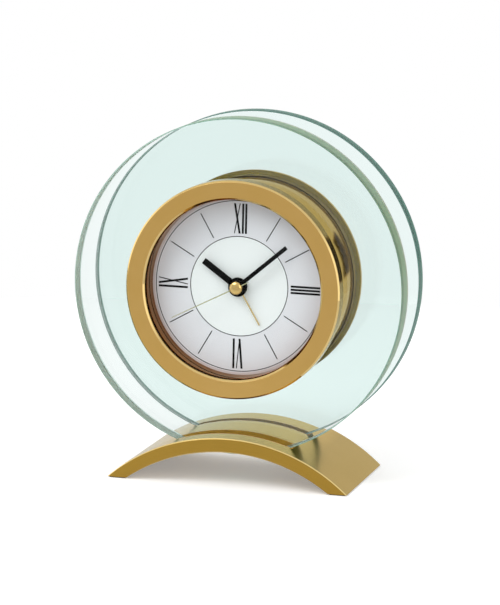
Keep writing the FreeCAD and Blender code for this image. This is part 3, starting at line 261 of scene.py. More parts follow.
def tintedGlass(name, ends, bore, radius, rimLook):
    # Polished faces over a tint that comes from the depth of glass; the rim is finely ground and painted
    # greener for light carried inside the glass, with painted shade along its front edge and a painted
    # highlight along its back edge;
    # the bore is gilded where it holds the drum.
    material, wire = startLook(name)
    reach, depth = roundPlaces(wire)[:2]
    front, back = ends
    rim = reach.ramp(radius - glassLook["rimFrom"], radius - glassLook["rimTo"])
    smear = grain(wire, scale=35.0)
    volume = wire.add("VolumeAbsorption", None, {"Color": glassLook["absorb"], "Density": rimLook["density"]})
    clear = wire.add("BsdfPrincipled", None, {
        "Base Color": white, "Transmission Weight": 1.0, "IOR": glassLook["ior"],
        "Specular IOR Level": glassLook["shine"], "Roughness": rim * glassLook["clearRimRough"]})
    # Painted shade along the rim's front edge and a painted highlight along its back edge.
    frontShadeLine = 1.0 - depth.ramp(front + glassLook["lineFrom"], front + glassLook["lineTo"])
    backHighlight = depth.ramp(back - glassLook["farFrom"], back - glassLook["farTo"])
    middle = smear.mix(rimLook["pale"], rimLook["deep"])
    rimTintAndPaintedLight = backHighlight.mix(frontShadeLine.mix(middle, rimLook["line"]), rimLook["far"])
    ground = wire.add("BsdfPrincipled", None, {
        "Base Color": rimTintAndPaintedLight, "Transmission Weight": rimLook["through"],
        "Roughness": glassLook["groundRough"] + smear * glassLook["roughSpread"],
        "Specular IOR Level": glassLook["shine"]})
    both = wire.add("MixShader", None, {0: rim * glassLook["groundShare"], 1: clear, 2: ground})
    gilt = wire.add("BsdfPrincipled", None, {
        "Base Color": smear.mix(glassLook["gilt"], glassLook["giltWarm"]), "Metallic": 1.0,
        "Roughness": glassLook["giltRough"] + smear * glassLook["roughSpread"]})
    inside = 1.0 - reach.ramp(bore + glassLook["giltTo"], bore + glassLook["giltEnd"])
    lined = wire.add("MixShader", None, {0: inside, 1: both, 2: gilt})
    wire.add("OutputMaterial", None, {"Surface": lined, "Volume": volume})
    return material


lensLook = {"tint": (0.985, 0.992, 0.99, 1.0), "plainTo": 15 * mm, "edge": 41 * mm, "mirror": 0.002,
            "edgeMirror": 0.008, "polished": 0.01, "dust": 0.02}


def clearLens(name):
    # Thin optical glass: it passes light straight on and mirrors a little more towards its edge.
    material, wire = startLook(name)
    outward = roundPlaces(wire)[0].ramp(lensLook["plainTo"], lensLook["edge"])
    dust = grain(wire, scale=400.0)
    through = wire.add("BsdfTransparent", None, {"Color": lensLook["tint"]})
    gloss = wire.add("BsdfPrincipled", None, {
        "Base Color": white, "Metallic": 1.0, "Roughness": lensLook["polished"] + dust * lensLook["dust"]})
    mirror = lensLook["mirror"] + outward * lensLook["edgeMirror"]
    both = wire.add("MixShader", None, {0: mirror, 1: through, 2: gloss})
    wire.add("OutputMaterial", None, {"Surface": both})
    return material


plainLook = {"colourSpread": 0.10, "colourLift": 0.004, "roughSpread": 0.12}


def addPlain(name, colour, roughness, metallic=0.0, fineScale=1500.0, depth=0.01 * mm, coat=0.0, shine=0.5):
    # Moulded, painted or plated surface with a fine texture and faint cloudiness.
    material, wire = startLook(name)
    cloudy = grain(wire, scale=80.0)
    fine = grain(wire, scale=fineScale)
    low = linear(colour)
    more = 1 + plainLook["colourSpread"]
    high = [min(1.0, part * more + plainLook["colourLift"]) for part in low[:3]] + [1.0]
    endLook(wire, {"Base Color": cloudy.mix(low, high), "Metallic": metallic,
                   "Roughness": roughness + (fine - 0.5) * plainLook["roughSpread"],
                   "Coat Weight": coat, "Specular IOR Level": shine,
                   "Normal": bump(wire, fine, strength=0.25, distance=depth)})
    return material


dialLook = {
    "outer": "E4E6EB", "inner": "F0F6F6", "edge": "D2CACA", "speck": "A8ABB2", "speckShare": 0.10,
    "split": 22.3 * mm, "splitSoft": 0.1 * mm, "rimFrom": 38.5 * mm, "rimTo": 39.0 * mm,
    "rough": 0.42, "roughSpread": 0.2,
}


def silverDial(name):
    # Fine silver-white grain: paler inside the inner ring, and at the very edge a darker pinkish grey,
    # painted shade where the ring round the dial shades it.
    material, wire = startLook(name)
    reach = roundPlaces(wire)[0]
    fine = grain(wire, scale=2600.0, detail=3.0)
    outside = reach.ramp(dialLook["split"] - dialLook["splitSoft"], dialLook["split"] + dialLook["splitSoft"])
    # Painted shade: the darker pinkish edge colour round the rim of the dial.
    margin = reach.ramp(dialLook["rimFrom"], dialLook["rimTo"])
    face = margin.mix(outside.mix(dialLook["inner"], dialLook["outer"]), dialLook["edge"])
    endLook(wire, {"Base Color": (fine * dialLook["speckShare"]).mix(face, dialLook["speck"]),
                   "Roughness": dialLook["rough"] + (fine - 0.5) * dialLook["roughSpread"], "Metallic": 0.0,
                   "Normal": bump(wire, fine, strength=0.12, distance=0.01 * mm)})
    return material


def pressedFelt(name):
    material, wire = startLook(name)
    fibre = grain(wire, scale=1400.0, detail=6.0, roughness=0.75)
    endLook(wire, {"Base Color": fibre.mix("15161A", "3A3B40"), "Roughness": 0.95, "Sheen Weight": 0.4,
                   "Normal": bump(wire, fibre, strength=0.8, distance=0.10 * mm)})
    return material


twoGoldLook = {"hub": "E2C484", "hubWarm": "D3B06A", "blade": "CFCFA8", "bladeWarm": "C0C199",
               "soft": 0.1 * mm, "rough": 0.14, "roughSpread": 0.06}


def twoGolds(name, hub):
    # A polished gold hub, and beyond it a paler, greener gold.
    material, wire = startLook(name)
    reach = roundPlaces(wire)[0]
    cloudy = grain(wire, scale=80.0)
    hubGold = cloudy.mix(twoGoldLook["hub"], twoGoldLook["hubWarm"])
    paleGold = cloudy.mix(twoGoldLook["blade"], twoGoldLook["bladeWarm"])
    fine = grain(wire, scale=3000.0)
    beyond = reach.ramp(hub, hub + twoGoldLook["soft"])
    endLook(wire, {"Base Color": beyond.mix(hubGold, paleGold), "Metallic": 1.0,
                   "Roughness": twoGoldLook["rough"] + fine * twoGoldLook["roughSpread"],
                   "Normal": bump(wire, fine, strength=0.2, distance=0.002 * mm)})
    return material


def copperTurns(name, wireThick):
    # Fine enamelled wire: turns side by side along X.
    material, wire = startLook(name)
    x = wire.add("TexCoord", output="Object").parts()[0]
    turns = wire.sum("SINE", x * (2 * math.pi / wireThick))
    endLook(wire, {"Base Color": (turns * 0.5 + 0.5).mix("7A3C1C", "C7703A"), "Metallic": 0.8,
                   "Roughness": 0.3, "Normal": bump(wire, turns, strength=0.8, distance=wireThick / 4)})
    return material


cellLook = {"sleeve": "23252A", "sleevePale": "2B2D33", "copper": "B9793F", "copperShare": 0.25,
            "soft": 0.1 * mm, "rough": 0.25, "roughSpread": 0.1}


def cellJacket(name, copperFrom):
    # Plain battery jacket: dark sleeve with a copper-coloured end, and no lettering.
    material, wire = startLook(name)
    x = wire.add("TexCoord", output="Object").parts()[0]
    cloudy = grain(wire, scale=120.0)
    end = x.ramp(copperFrom - cellLook["soft"], copperFrom + cellLook["soft"])
    sleeve = cloudy.mix(cellLook["sleeve"], cellLook["sleevePale"])
    endLook(wire, {"Base Color": end.mix(sleeve, cellLook["copper"]), "Metallic": 0.6, "Coat Weight": 0.3,
                   "Roughness": cellLook["rough"] + cloudy * cellLook["roughSpread"]})
    return material


blackPlastic = addPlain("blackPlastic", "17181A", 0.48, depth=0.03 * mm)
knobPlastic = addPlain("knobPlastic", "1B1C1F", 0.35)
greyPlastic = addPlain("greyPlastic", "8B8E91", 0.5)
whitePlastic = addPlain("whitePlastic", "E6E4DA", 0.35)
blackRubber = addPlain("blackRubber", "141414", 0.75)
oliveSeal = addPlain("oliveSeal", "C49C34", 0.5, metallic=0.7)
brownSeal = addPlain("brownSeal", "5C4520", 0.5)
amberLiner = addPlain("amberLiner", "E0A030", 0.35)
inkLook = addPlain("printedInk", "050506", 0.6, fineScale=4000.0, depth=0.002 * mm, shine=0.05)
handBlack = addPlain("handBlack", "030303", 0.4, fineScale=3000.0, depth=0.003 * mm, shine=0.05)
handGold = addPlain("handGold", "D9BF86", 0.16, metallic=1.0, fineScale=3000.0, depth=0.002 * mm)
steelLook = addPlain("platedSteel", "B4B5B6", 0.28, metallic=1.0)
brassLook = addPlain("turnedBrass", "D0A556", 0.3, metallic=1.0)
magnetLook = addPlain("sinteredMagnet", "2C2D30", 0.5, metallic=0.6)
boardLook = addPlain("solderMask", "1C5A34", 0.35, coat=0.4)
chipLook = addPlain("chipMould", "0F1011", 0.55)
satinFlange = satinGold("satinFlange")
# The reflector ring's deep brown gold is painted shade for the recess between the bezel and the dial.
shadedRingGold = polishedGold("shadedRingGold", "8E4E14", "824610")
print("finishes:", len(bpy.data.materials))

# Surfaces
sharpAngle = math.radians(40)
mergeWithin = 1e-7


def gridFaces(rows, columns, closeRows=True, closeColumns=True):
    # Quads between neighbouring rows and columns of a grid of points.
    row = np.arange(rows if closeRows else rows - 1)
    column = np.arange(columns if closeColumns else columns - 1)
    row, column = np.meshgrid(row, column, indexing="ij")
    nextRow = (row + 1) % rows
    nextColumn = (column + 1) % columns
    quads = np.stack([row * columns + column, nextRow * columns + column,
                      nextRow * columns + nextColumn, row * columns + nextColumn], -1)
    return quads.reshape(-1, 4)


def rounded(corners, radius, steps=3, margin=0.02 * mm, closed=True, longest=0.45):
    # Each corner becomes a parabolic arc that starts and ends at radius * tan(half the turn) from it, but
    # at most the longest share of a side, with one more point just outside each end, so that flat
    # stretches stay flat when shaded.
    corners = np.asarray(corners, float)
    count = len(corners)
    ends = [] if closed else [0, count - 1]
    share = np.linspace(0, 1, steps + 1)[:, None]
    parts = []
    for i, corner in enumerate(corners):
        if i in ends:
            parts.append(corner[None])
            continue
        back = corners[(i - 1) % count] - corner
        ahead = corners[(i + 1) % count] - corner
        backLong, aheadLong = np.linalg.norm(back), np.linalg.norm(ahead)
        back, ahead = back / backLong, ahead / aheadLong
        turn = math.pi - math.acos(np.clip(back @ ahead, -1, 1))
        cutBack = min(radius * math.tan(turn / 2), longest * backLong, longest * aheadLong)
        start, end = corner + back * cutBack, corner + ahead * cutBack
        arc = (1 - share) ** 2 * start + 2 * share * (1 - share) * corner + share ** 2 * end
        outside = min(margin, cutBack / 4)
        parts += [(start + back * outside)[None], arc, (end + ahead * outside)[None]]
    return np.concatenate(parts)


def shapeMesh(name, points, faces):
    mesh = bpy.data.meshes.new(name)
    mesh.from_pydata(points.tolist(), [], faces if isinstance(faces, list) else faces.tolist())
    work = bmesh.new()
    work.from_mesh(mesh)
    bmesh.ops.remove_doubles(work, verts=work.verts, dist=mergeWithin)
    bmesh.ops.recalc_face_normals(work, faces=work.faces)
    work.to_mesh(mesh)
    work.free()
    mesh.shade_smooth()
    mesh.set_sharp_from_angle(angle=sharpAngle)
    return mesh


def addPiece(name, mesh, look, body="case", stands=()):
    piece = bpy.data.objects.new(name, mesh)
    bpy.context.scene.collection.objects.link(piece)
    mesh.materials.clear()
    mesh.materials.append(look)
    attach(piece, body)
    if stands:
        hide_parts(*stands)
    return piece


def carriedRound(x, z, radius, depth, turn):
    # x = axis + radius sin(turn), y = depth, z = axis + radius cos(turn)
    depths = np.broadcast_to(depth, (len(turn), len(depth)))
    return np.stack([x + radius * np.sin(turn), depths, z + radius * np.cos(turn)], -1).reshape(-1, 3)


def turnedMesh(name, profile, turns=288, closed=True):
    # A section of (radius, depth) points carried round the clock's axis, which runs along Y.
    turn = np.linspace(0, 2 * math.pi, turns, endpoint=False)[:, None]
    radius, depth = np.asarray(profile, float).T
    points = carriedRound(axisX, axisZ, radius, depth, turn)
    return shapeMesh(name, points, gridFaces(turns, len(radius), closeColumns=closed))


def addRound(node, name, section, soft, look, turns=288):
    # A turned piece of the case that stands for one node; soft rounds the section's corners.
    addPiece(name, turnedMesh(name, rounded(section, soft), turns), look, stands=(node,))


def plainRing(front, back, bore, radius):
    return [(bore, front), (radius, front), (radius, back), (bore, back)]


def sweptMesh(name, x, y, z):
    # Rows of section points one after another, closed by a face at each end.
    rows, size = x.shape
    points = np.stack([x, y, z], -1).reshape(-1, 3)
    faces = gridFaces(rows, size, closeRows=False).tolist()
    faces += [list(range(size)), list(range(len(points) - size, len(points)))]
    return shapeMesh(name, points, faces)


def joinMeshes(name, meshes):
    # One mesh from several, each kept as its own closed shell.
    work = bmesh.new()
    for mesh in meshes:
        work.from_mesh(mesh)
    joined = bpy.data.meshes.new(name)
    work.to_mesh(joined)
    work.free()
    joined.set_sharp_from_angle(angle=sharpAngle)
    return joined


# Glass discs: flat ring with a small bevel on both edges of its rim
glassDisc = {"bevel": 0.45 * mm, "soft": 0.12 * mm}
for node, name, rimLook in (("front_glass_disc", "frontGlass", frontRim),
                            ("rear_glass_disc", "rearGlass", shadedRearRim)):
    front, back, bore, radius = ringOf(node)
    cut = glassDisc["bevel"]
    section = [(bore, front), (radius - cut, front), (radius, front + cut), (radius, back - cut),
               (radius - cut, back), (bore, back)]
    look = tintedGlass(name + "Look", (front, back), bore, radius, rimLook)
    addRound(node, name, section, glassDisc["soft"], look, turns=360)
print("glass discs made")

# Drum: its shading has a faint crown between the discs
drum = {"soft": 0.15 * mm, "crownSlope": 0.06}
gapFront, gapBack = ringOf("front_glass_disc")[1], ringOf("rear_glass_disc")[0]
crown = {"middle": (gapFront + gapBack) / 2, "reach": (gapBack - gapFront) / 2, "slope": drum["crownSlope"]}
drumGold = polishedGold("drumGold", "C9A055", "BF9548", crown)
addRound("drum_tube", "drum", plainRing(*ringOf("drum_tube")), drum["soft"], drumGold)

# Bezel: flat face with a chamfer on both sides, a step and a ledge for the lens, and a spigot
bezel = {"bevel": 0.75 * mm, "soft": 0.12 * mm, "opening": 40.1 * mm, "lip": 1.5 * mm, "spigot": 44.5 * mm,
         "innerBevel": 0.9 * mm, "step": 41.55 * mm, "ledge": 10.7 * mm, "seat": 43.2 * mm, "skirt": 7.3 * mm,
         "fadeStart": 0.02 * mm, "fadeEnd": 0.10 * mm}
front, back, bore, radius = ringOf("front_bezel")
lip = front + bezel["lip"]
skirt = front + bezel["skirt"]
ledge = front + bezel["ledge"]
section = [(bezel["opening"] + bezel["innerBevel"], front), (radius - bezel["bevel"], front),
           (radius, front + bezel["bevel"]), (radius, skirt), (bezel["spigot"], skirt),
           (bezel["spigot"], back), (bezel["seat"], back), (bezel["seat"], ledge), (bezel["step"], ledge),
           (bezel["step"], lip), (bezel["opening"], lip), (bezel["opening"], front + bezel["innerBevel"])]
faceEnds = [front + bezel[key] for key in ("fadeStart", "fadeEnd", "bevel")]
bezelLook = satinGold("bezelGold", faceEnds)
addRound("front_bezel", "bezel", section, bezel["soft"], bezelLook, turns=360)

# Rear flange, with a spigot that reaches into the drum
flange = {"bevel": 0.6 * mm, "soft": 0.15 * mm, "spigot": 44.5 * mm, "reach": 6 * mm}
front, back, bore, radius = ringOf("rear_flange")
seat = front + flange["reach"]
section = [(bore, front), (flange["spigot"], front), (flange["spigot"], seat), (radius, seat),
           (radius, back - flange["bevel"]), (radius - flange["bevel"], back), (bore, back)]
addRound("rear_flange", "rearFlange", section, flange["soft"], satinFlange)

# Gaskets: the air gap keeps their faces apart from the glass they touch
gasket = {"soft": 0.1 * mm, "airGap": 0.04 * mm}
for node, name, look in (("front_disc_gasket", "frontGasket", brownSeal),
                         ("rear_disc_gasket", "rearGasket", oliveSeal)):
    front, back, bore, radius = ringOf(node)
    section = plainRing(front + gasket["airGap"], back - gasket["airGap"], bore, radius)
    addRound(node, name, section, gasket["soft"], look)

# Ring behind the lens, with a step for the lens's seal in front and a foot at the back
reflector = {"sealStep": 40.7 * mm, "wall": 41.4 * mm, "sealDeep": 0.8 * mm, "foot": 1.5 * mm,
             "soft": 0.1 * mm}
front, back, bore, radius = ringOf("reflector_ring")
sealBack = front + reflector["sealDeep"]
section = [(bore, front), (reflector["sealStep"], front), (reflector["sealStep"], sealBack),
           (reflector["wall"], sealBack), (reflector["wall"], back - reflector["foot"]),
           (radius, back - reflector["foot"]), (radius, back), (bore, back)]
addRound("reflector_ring", "reflector", section, reflector["soft"], shadedRingGold)
print("drum, bezel, flange and reflector made")

# Lens, its seal and the dial plate
softCorners = {"lens": 0.15 * mm, "lensSeal": 0.2 * mm, "dial": 0.05 * mm}
front, back, bore, radius = ringOf("lens")
section = rounded(plainRing(front, back, 0, radius), softCorners["lens"], closed=False)
addPiece("lensGlass", turnedMesh("lensGlass", section, closed=False), clearLens("lensLook"),
         stands=("lens",))
addRound("lens_seal", "lensSeal", plainRing(*ringOf("lens_seal")), softCorners["lensSeal"], blackRubber)
addRound("dial_plate", "dial", plainRing(*ringOf("dial_plate")), softCorners["dial"], silverDial("dialLook"))
print("lens and dial made")

# Base: a band between two arcs, carried from the left foot to the right foot, then cut by the discs' slots
base = {"innerHalf": 46 * mm, "thick": 6.5 * mm, "bevel": 0.5 * mm, "soft": 0.15 * mm, "steps": 220,
        "slotOver": 0.6 * mm, "slotTurns": 720, "highlightLow": 13 * mm, "highlightHigh": 19 * mm,
        "cutSharp": math.radians(25)}
baseLow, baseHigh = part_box("base_arch")
foot = baseLow.z


def arcThrough(half, rise):             # centre height and radius of the arc over a chord at the foot
    radius = (half * half + rise * rise) / (2 * rise)
    return foot + rise - radius, radius, math.asin(half / radius)


def archMesh(name):
    # At share s of the way, O(s) and I(s) lie at the same share of the outer and inner arcs' spread.
    # A section point with height u over the inner arc is I + (O - I) / |O - I| * u.
    outerCentre, outerRadius, outerSpread = arcThrough(baseHigh.x, baseHigh.z - foot)
    innerCentre, innerRadius, innerSpread = arcThrough(base["innerHalf"], baseHigh.z - base["thick"] - foot)
    share = np.linspace(-1, 1, base["steps"])[:, None]
    outerTurn = share * outerSpread
    innerTurn = share * innerSpread
    outer = np.stack([outerRadius * np.sin(outerTurn), outerCentre + outerRadius * np.cos(outerTurn)], -1)
    inner = np.stack([innerRadius * np.sin(innerTurn), innerCentre + innerRadius * np.cos(innerTurn)], -1)
    across = outer - inner
    width = np.linalg.norm(across, axis=-1, keepdims=True)
    thick, cut = base["thick"], base["bevel"]
    corners = [(0, baseLow.y + cut), (0, baseHigh.y - cut), (cut, baseHigh.y), (thick - cut, baseHigh.y),
               (thick, baseHigh.y - cut), (thick, baseLow.y + cut), (thick - cut, baseLow.y),
               (cut, baseLow.y)]
    section = rounded(corners, base["soft"])
    over = section[:, 0] > thick / 2
    height = np.where(over, width[..., 0] + section[:, 0] - thick, section[:, 0])
    ring = inner + across / width * height[..., None]
    depths = np.broadcast_to(section[:, 1], height.shape)
    return sweptMesh(name, ring[..., 0], depths, ring[..., 1]), outerCentre


def cutAway(mesh, cutters):
    # Solid difference of a mesh and closed cutters.
    scene = bpy.context.scene
    body = bpy.data.objects.new("cutBody", mesh)
    scene.collection.objects.link(body)
    helpers = [body]
    for cutter in cutters:
        tool = bpy.data.objects.new("cutTool", cutter)
        scene.collection.objects.link(tool)
        helpers.append(tool)
        modifier = body.modifiers.new("cut", "BOOLEAN")
        modifier.object = tool
        modifier.operation = "DIFFERENCE"
        modifier.solver = "EXACT"
    made = bpy.data.meshes.new_from_object(body.evaluated_get(bpy.context.evaluated_depsgraph_get()))
    for helper in helpers:
        bpy.data.objects.remove(helper)
    made.shade_smooth()
    made.set_sharp_from_angle(angle=base["cutSharp"])
    return made


arch, arcCentre = archMesh("baseArch")
slots = []
for liner, disc in (("front_slot_liner", "front_glass_disc"), ("rear_slot_liner", "rear_glass_disc")):
    low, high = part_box(liner)
    radius = ringOf(disc)[3] + base["slotOver"]
    slots.append(turnedMesh(liner, plainRing(low.y, high.y, 0, radius), base["slotTurns"], closed=False))
arch = cutAway(arch, slots)
arch.name = "baseArch"
baseGold = brushedGold("baseGold", arcCentre, baseHigh.y, base["bevel"], base["highlightLow"], base["highlightHigh"])
addPiece("baseArch", arch, baseGold, stands=("base_arch",))
print("base made:", len(arch.polygons), "faces")

# Hands, in millimetres and degrees: a blade with soft edges, carried out from a turned hub
hubTurns = 96
hands = {
    "hour_hand": {"name": "hourHand", "body": "hour", "turn": 305, "reach": 19.1, "wide": 2.9, "hub": 4.3,
                  "bore": 1.7, "deep": 0.5, "soft": 0.08, "look": handBlack, "slot": "black_hand"},
    "minute_hand": {"name": "minuteHand", "body": "minute", "turn": 49.2, "reach": 29.4, "wide": 1.8,
                    "hub": 3.3, "bore": 1.12, "deep": 0.5, "soft": 0.08, "look": handBlack,
                    "slot": "black_hand"},
    "alarm_hand": {"name": "alarmHand", "body": "alarm", "turn": 149.2, "reach": 19.5, "wide": 0.6,
                   "hub": 3.2, "bore": 2.3, "deep": 0.5, "soft": 0.05, "look": handGold, "slot": "gold_hand"},
}


def bladeMesh(name, hand, front, thick):
    # The half width runs straight from the root to the tip; the section is a flat bar with soft edges.
    # A hand with a tail is widest at the root and narrows to both ends.
    tip = hand.get("tip", hand["wide"])
    ends = [-hand["tail"], 0, hand["reach"]] if "tail" in hand else [0, hand["reach"]]
    reach = np.array(ends) * mm
    half = np.array([tip, hand["wide"], tip])[-len(reach):] * mm / 2
    section = rounded([(-1, 0), (1, 0), (1, 1), (-1, 1)], radius=0.12, steps=2, margin=0.02)
    across = half[:, None] * section[:, 0]
    turn = math.radians(hand["turn"])
    x = axisX + across * math.cos(turn) + reach[:, None] * math.sin(turn)
    z = axisZ - across * math.sin(turn) + reach[:, None] * math.cos(turn)
    y = np.broadcast_to(front + section[:, 1] * thick, x.shape)
    return sweptMesh(name, x, y, z)


for node, hand in hands.items():
    low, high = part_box(node)
    thick = high.y - low.y - hand["deep"] * mm
    hub = rounded(plainRing(low.y, high.y, hand["bore"] * mm, hand["hub"] * mm), hand["soft"] * mm)
    hubMesh = turnedMesh(hand["name"] + "Hub", hub, hubTurns)
    blade = bladeMesh(hand["name"] + "Blade", hand, low.y, thick)
    addPiece(hand["name"], joinMeshes(hand["name"], [hubMesh, blade]), hand["look"],
             hand["body"], (node,))

# Second hand, in millimetres and degrees: thin tapered blade and tail under a domed hub
second = {"turn": 242.7, "reach": 32.8, "tail": 6.6, "wide": 0.6, "tip": 0.32, "hub": 2.9, "thick": 0.2,
          "dome": 1.2, "steps": 12}
low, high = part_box("second_hand")
blade = bladeMesh("secondBlade", second, high.y - second["thick"] * mm, second["thick"] * mm)
share = np.linspace(0, math.pi / 2, second["steps"])
dome = np.stack([np.sin(share) * second["hub"] * mm, low.y + (1 - np.cos(share)) * second["dome"] * mm], -1)
domed = np.concatenate([dome, [[second["hub"] * mm, high.y], [0, high.y]]])
hubMesh = turnedMesh("secondHub", domed, hubTurns, closed=False)
secondGold = twoGolds("secondGold", second["hub"] * mm)
addPiece("secondHand", joinMeshes("secondHand", [blade, hubMesh]), secondGold, "seconds",
         ("second_hand",))
print("hands made")

# Setting knobs: radius falls by a rounded flute, repeated round the rim
knob = {"flutes": 16, "fluteDeep": 0.45 * mm, "lobePower": 0.8, "fluteFrom": 0.80, "fluteRise": 0.12,
        "bevel": 0.5 * mm, "soft": 0.2 * mm, "turns": 384}


def knobMesh(name, node):
    # radius(turn) = rim - deep * lobe(turn), where the lobe is the upper half of a cosine, to a power.
    low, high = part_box(node)
    x, z = (low.x + high.x) / 2, (low.z + high.z) / 2
    rim = (high.x - low.x) / 2
    turn = np.linspace(0, 2 * math.pi, knob["turns"], endpoint=False)[:, None]
    lobe = np.clip(np.cos(turn * knob["flutes"]), 0, 1) ** knob["lobePower"]
    cut = knob["bevel"]
    corners = [(0, high.y), (rim - cut, high.y), (rim, high.y - cut), (rim, low.y), (0, low.y)]
    radius, depth = rounded(corners, knob["soft"], closed=False).T
    edge = np.clip((radius - rim * knob["fluteFrom"]) / (rim * knob["fluteRise"]), 0, 1)
    points = carriedRound(x, z, radius - knob["fluteDeep"] * lobe * edge, depth, turn)
    return shapeMesh(name, points, gridFaces(knob["turns"], len(depth), closeColumns=False))


for node, name, body in (("time_set_knob", "timeKnob", "time_set"),
                         ("alarm_set_knob", "alarmKnob", "alarm_set")):
    addPiece(name, knobMesh(name, node), knobPlastic, body, (node,))
print("knobs made")

# Pieces whose solid already has the right shape get merged corners and soft edges
softEdge = {"width": 0.12 * mm, "merge": 1e-6, "flat": math.radians(0.5), "shade": math.radians(30)}


def softened(node, name, look, body="case"):
    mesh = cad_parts[node].data.copy()
    mesh.name = name
    work = bmesh.new()
    work.from_mesh(mesh)
    bmesh.ops.remove_doubles(work, verts=work.verts, dist=softEdge["merge"])
    bmesh.ops.dissolve_limit(work, angle_limit=softEdge["flat"], verts=work.verts, edges=work.edges)
    work.to_mesh(mesh)
    work.free()
    mesh.shade_smooth()
    mesh.set_sharp_from_angle(angle=softEdge["shade"])
    piece = addPiece(name, mesh, look, body, (node,))
    bevel = piece.modifiers.new("softEdge", "BEVEL")
    bevel.width = softEdge["width"]
    bevel.segments = 2
    bevel.limit_method = "ANGLE"
    bevel.angle_limit = sharpAngle
    bevel.harden_normals = True


softened("rear_cover", "rearCover", blackPlastic)
softened("battery_door", "batteryDoor", blackPlastic, "door")
softened("alarm_switch", "alarmSwitch", knobPlastic, "switch")
softened("foot_pads", "footPads", pressedFelt("feltLook"))
print("rear pieces made")

# Inner pieces keep their solids and get their finishes
cellLow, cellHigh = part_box("battery_cell")
copperFrom = cellHigh.x - (cellHigh.x - cellLow.x) * cellLook["copperShare"]
finishes = {
    "front_slot_liner": amberLiner, "rear_slot_liner": amberLiner, "dial_markings": inkLook,
    "movement_holder": blackPlastic, "movement_front_plate": greyPlastic,
    "movement_middle_plate": greyPlastic, "movement_housing": greyPlastic, "movement_screws": steelLook,
    "minute_wheel_stud": steelLook, "stator_plate": steelLook, "coil_bobbin": whitePlastic,
    "coil_winding": copperTurns("coilLook", wireThick=0.25 * mm), "circuit_board": boardLook,
    "quartz_crystal": steelLook, "control_chip": chipLook, "buzzer": blackPlastic,
    "battery_cell": cellJacket("cellLook", copperFrom), "positive_contact": steelLook,
    "negative_contact": steelLook, "cover_screws": steelLook, "seconds_wheel": whitePlastic,
    "rotor_magnet": magnetLook, "rotor_pinion": whitePlastic, "fifth_wheel": whitePlastic,
    "third_wheel": whitePlastic, "centre_wheel": whitePlastic, "minute_pipe": brassLook,
    "minute_wheel": whitePlastic, "hour_wheel": whitePlastic, "alarm_wheel": whitePlastic,
    "alarm_set_arbor": whitePlastic, "time_set_arbor": whitePlastic,
}
for node, look in finishes.items():
    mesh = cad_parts[node].data
    mesh.materials.clear()
    mesh.materials.append(look)
print("inner pieces finished:", len(finishes))

# Studio
room = {
    "front": 0.74, "behindFrom": -0.25, "behindTo": 0.30, "aboveFrom": 0.10, "aboveTo": 0.70,
    "glassBack": 0.02, "wall": 0.8, "wallFrom": 0.55, "wallTo": 0.85, "stand": 0.03, "standColour": "FFCB8A",
    "standLeft": 0.225, "standRight": 0.325, "sideSoft": 0.012, "standLow": -0.09, "standHigh": 0.13,
    "topSoft": 0.02, "standFrom": 0.0, "standTo": 0.1,
}


def band(value, low, high, soft):       # 1 between low and high, with soft ends
    return value.ramp(low - soft, low) * (1.0 - value.ramp(high, high + soft))


def makeRoom():
    # Plain white behind and above, a little darker towards the viewer. Mirrored rays also find brighter
    # walls at both sides and one dark stand behind to the right. Places are directions from the clock.
    world = bpy.data.worlds.new("studioRoom")
    bpy.context.scene.world = world
    world.use_nodes = True
    world.node_tree.nodes.clear()
    wire = Wire(world.node_tree)
    x, y, z = wire.add("TexCoord", output="Generated").parts()
    behind = y.ramp(room["behindFrom"], room["behindTo"])
    above = z.ramp(room["aboveFrom"], room["aboveTo"])
    level = room["front"] + behind.most(above) * (1.0 - room["front"])
    direct = wire.add("LightPath", output="Is Camera Ray")
    outputs = direct.socket.node.outputs
    mirrored = Wire(wire.tree, outputs["Glossy Depth"]).ramp(0.2, 0.8)      # 1 once a ray was mirrored
    through = Wire(wire.tree, outputs["Is Transmission Ray"])
    walls = (x * x).ramp(room["wallFrom"], room["wallTo"]) * room["wall"]
    stand = band(x, room["standLeft"], room["standRight"], room["sideSoft"])
    stand = stand * y.ramp(room["standFrom"], room["standTo"])
    stand = stand * band(z, room["standLow"], room["standHigh"], room["topSoft"])
    shown = (level + walls) * (1.0 - stand * (1.0 - room["stand"]))
    plain = direct.most(through * (1.0 - mirrored))
    strength = plain * (1.0 + through * room["glassBack"])
    strength = strength + (1.0 - plain) * (mirrored * shown + (1.0 - mirrored) * level)
    tone = (stand * (1.0 - plain)).mix(white, room["standColour"])
    background = wire.add("Background", None, {"Color": tone, "Strength": strength})
    wire.add("OutputWorld", None, {"Surface": background})


floorLook = {
    "radius": 0.46, "corners": 96, "near": "B8B8B6", "far": "EFEFEF", "farFrom": -0.30, "farTo": -0.02,
    "lift": 0.25, "nearLift": 0.45, "through": 0.02, "nearThrough": 0.38, "mirrored": 0.02,
}


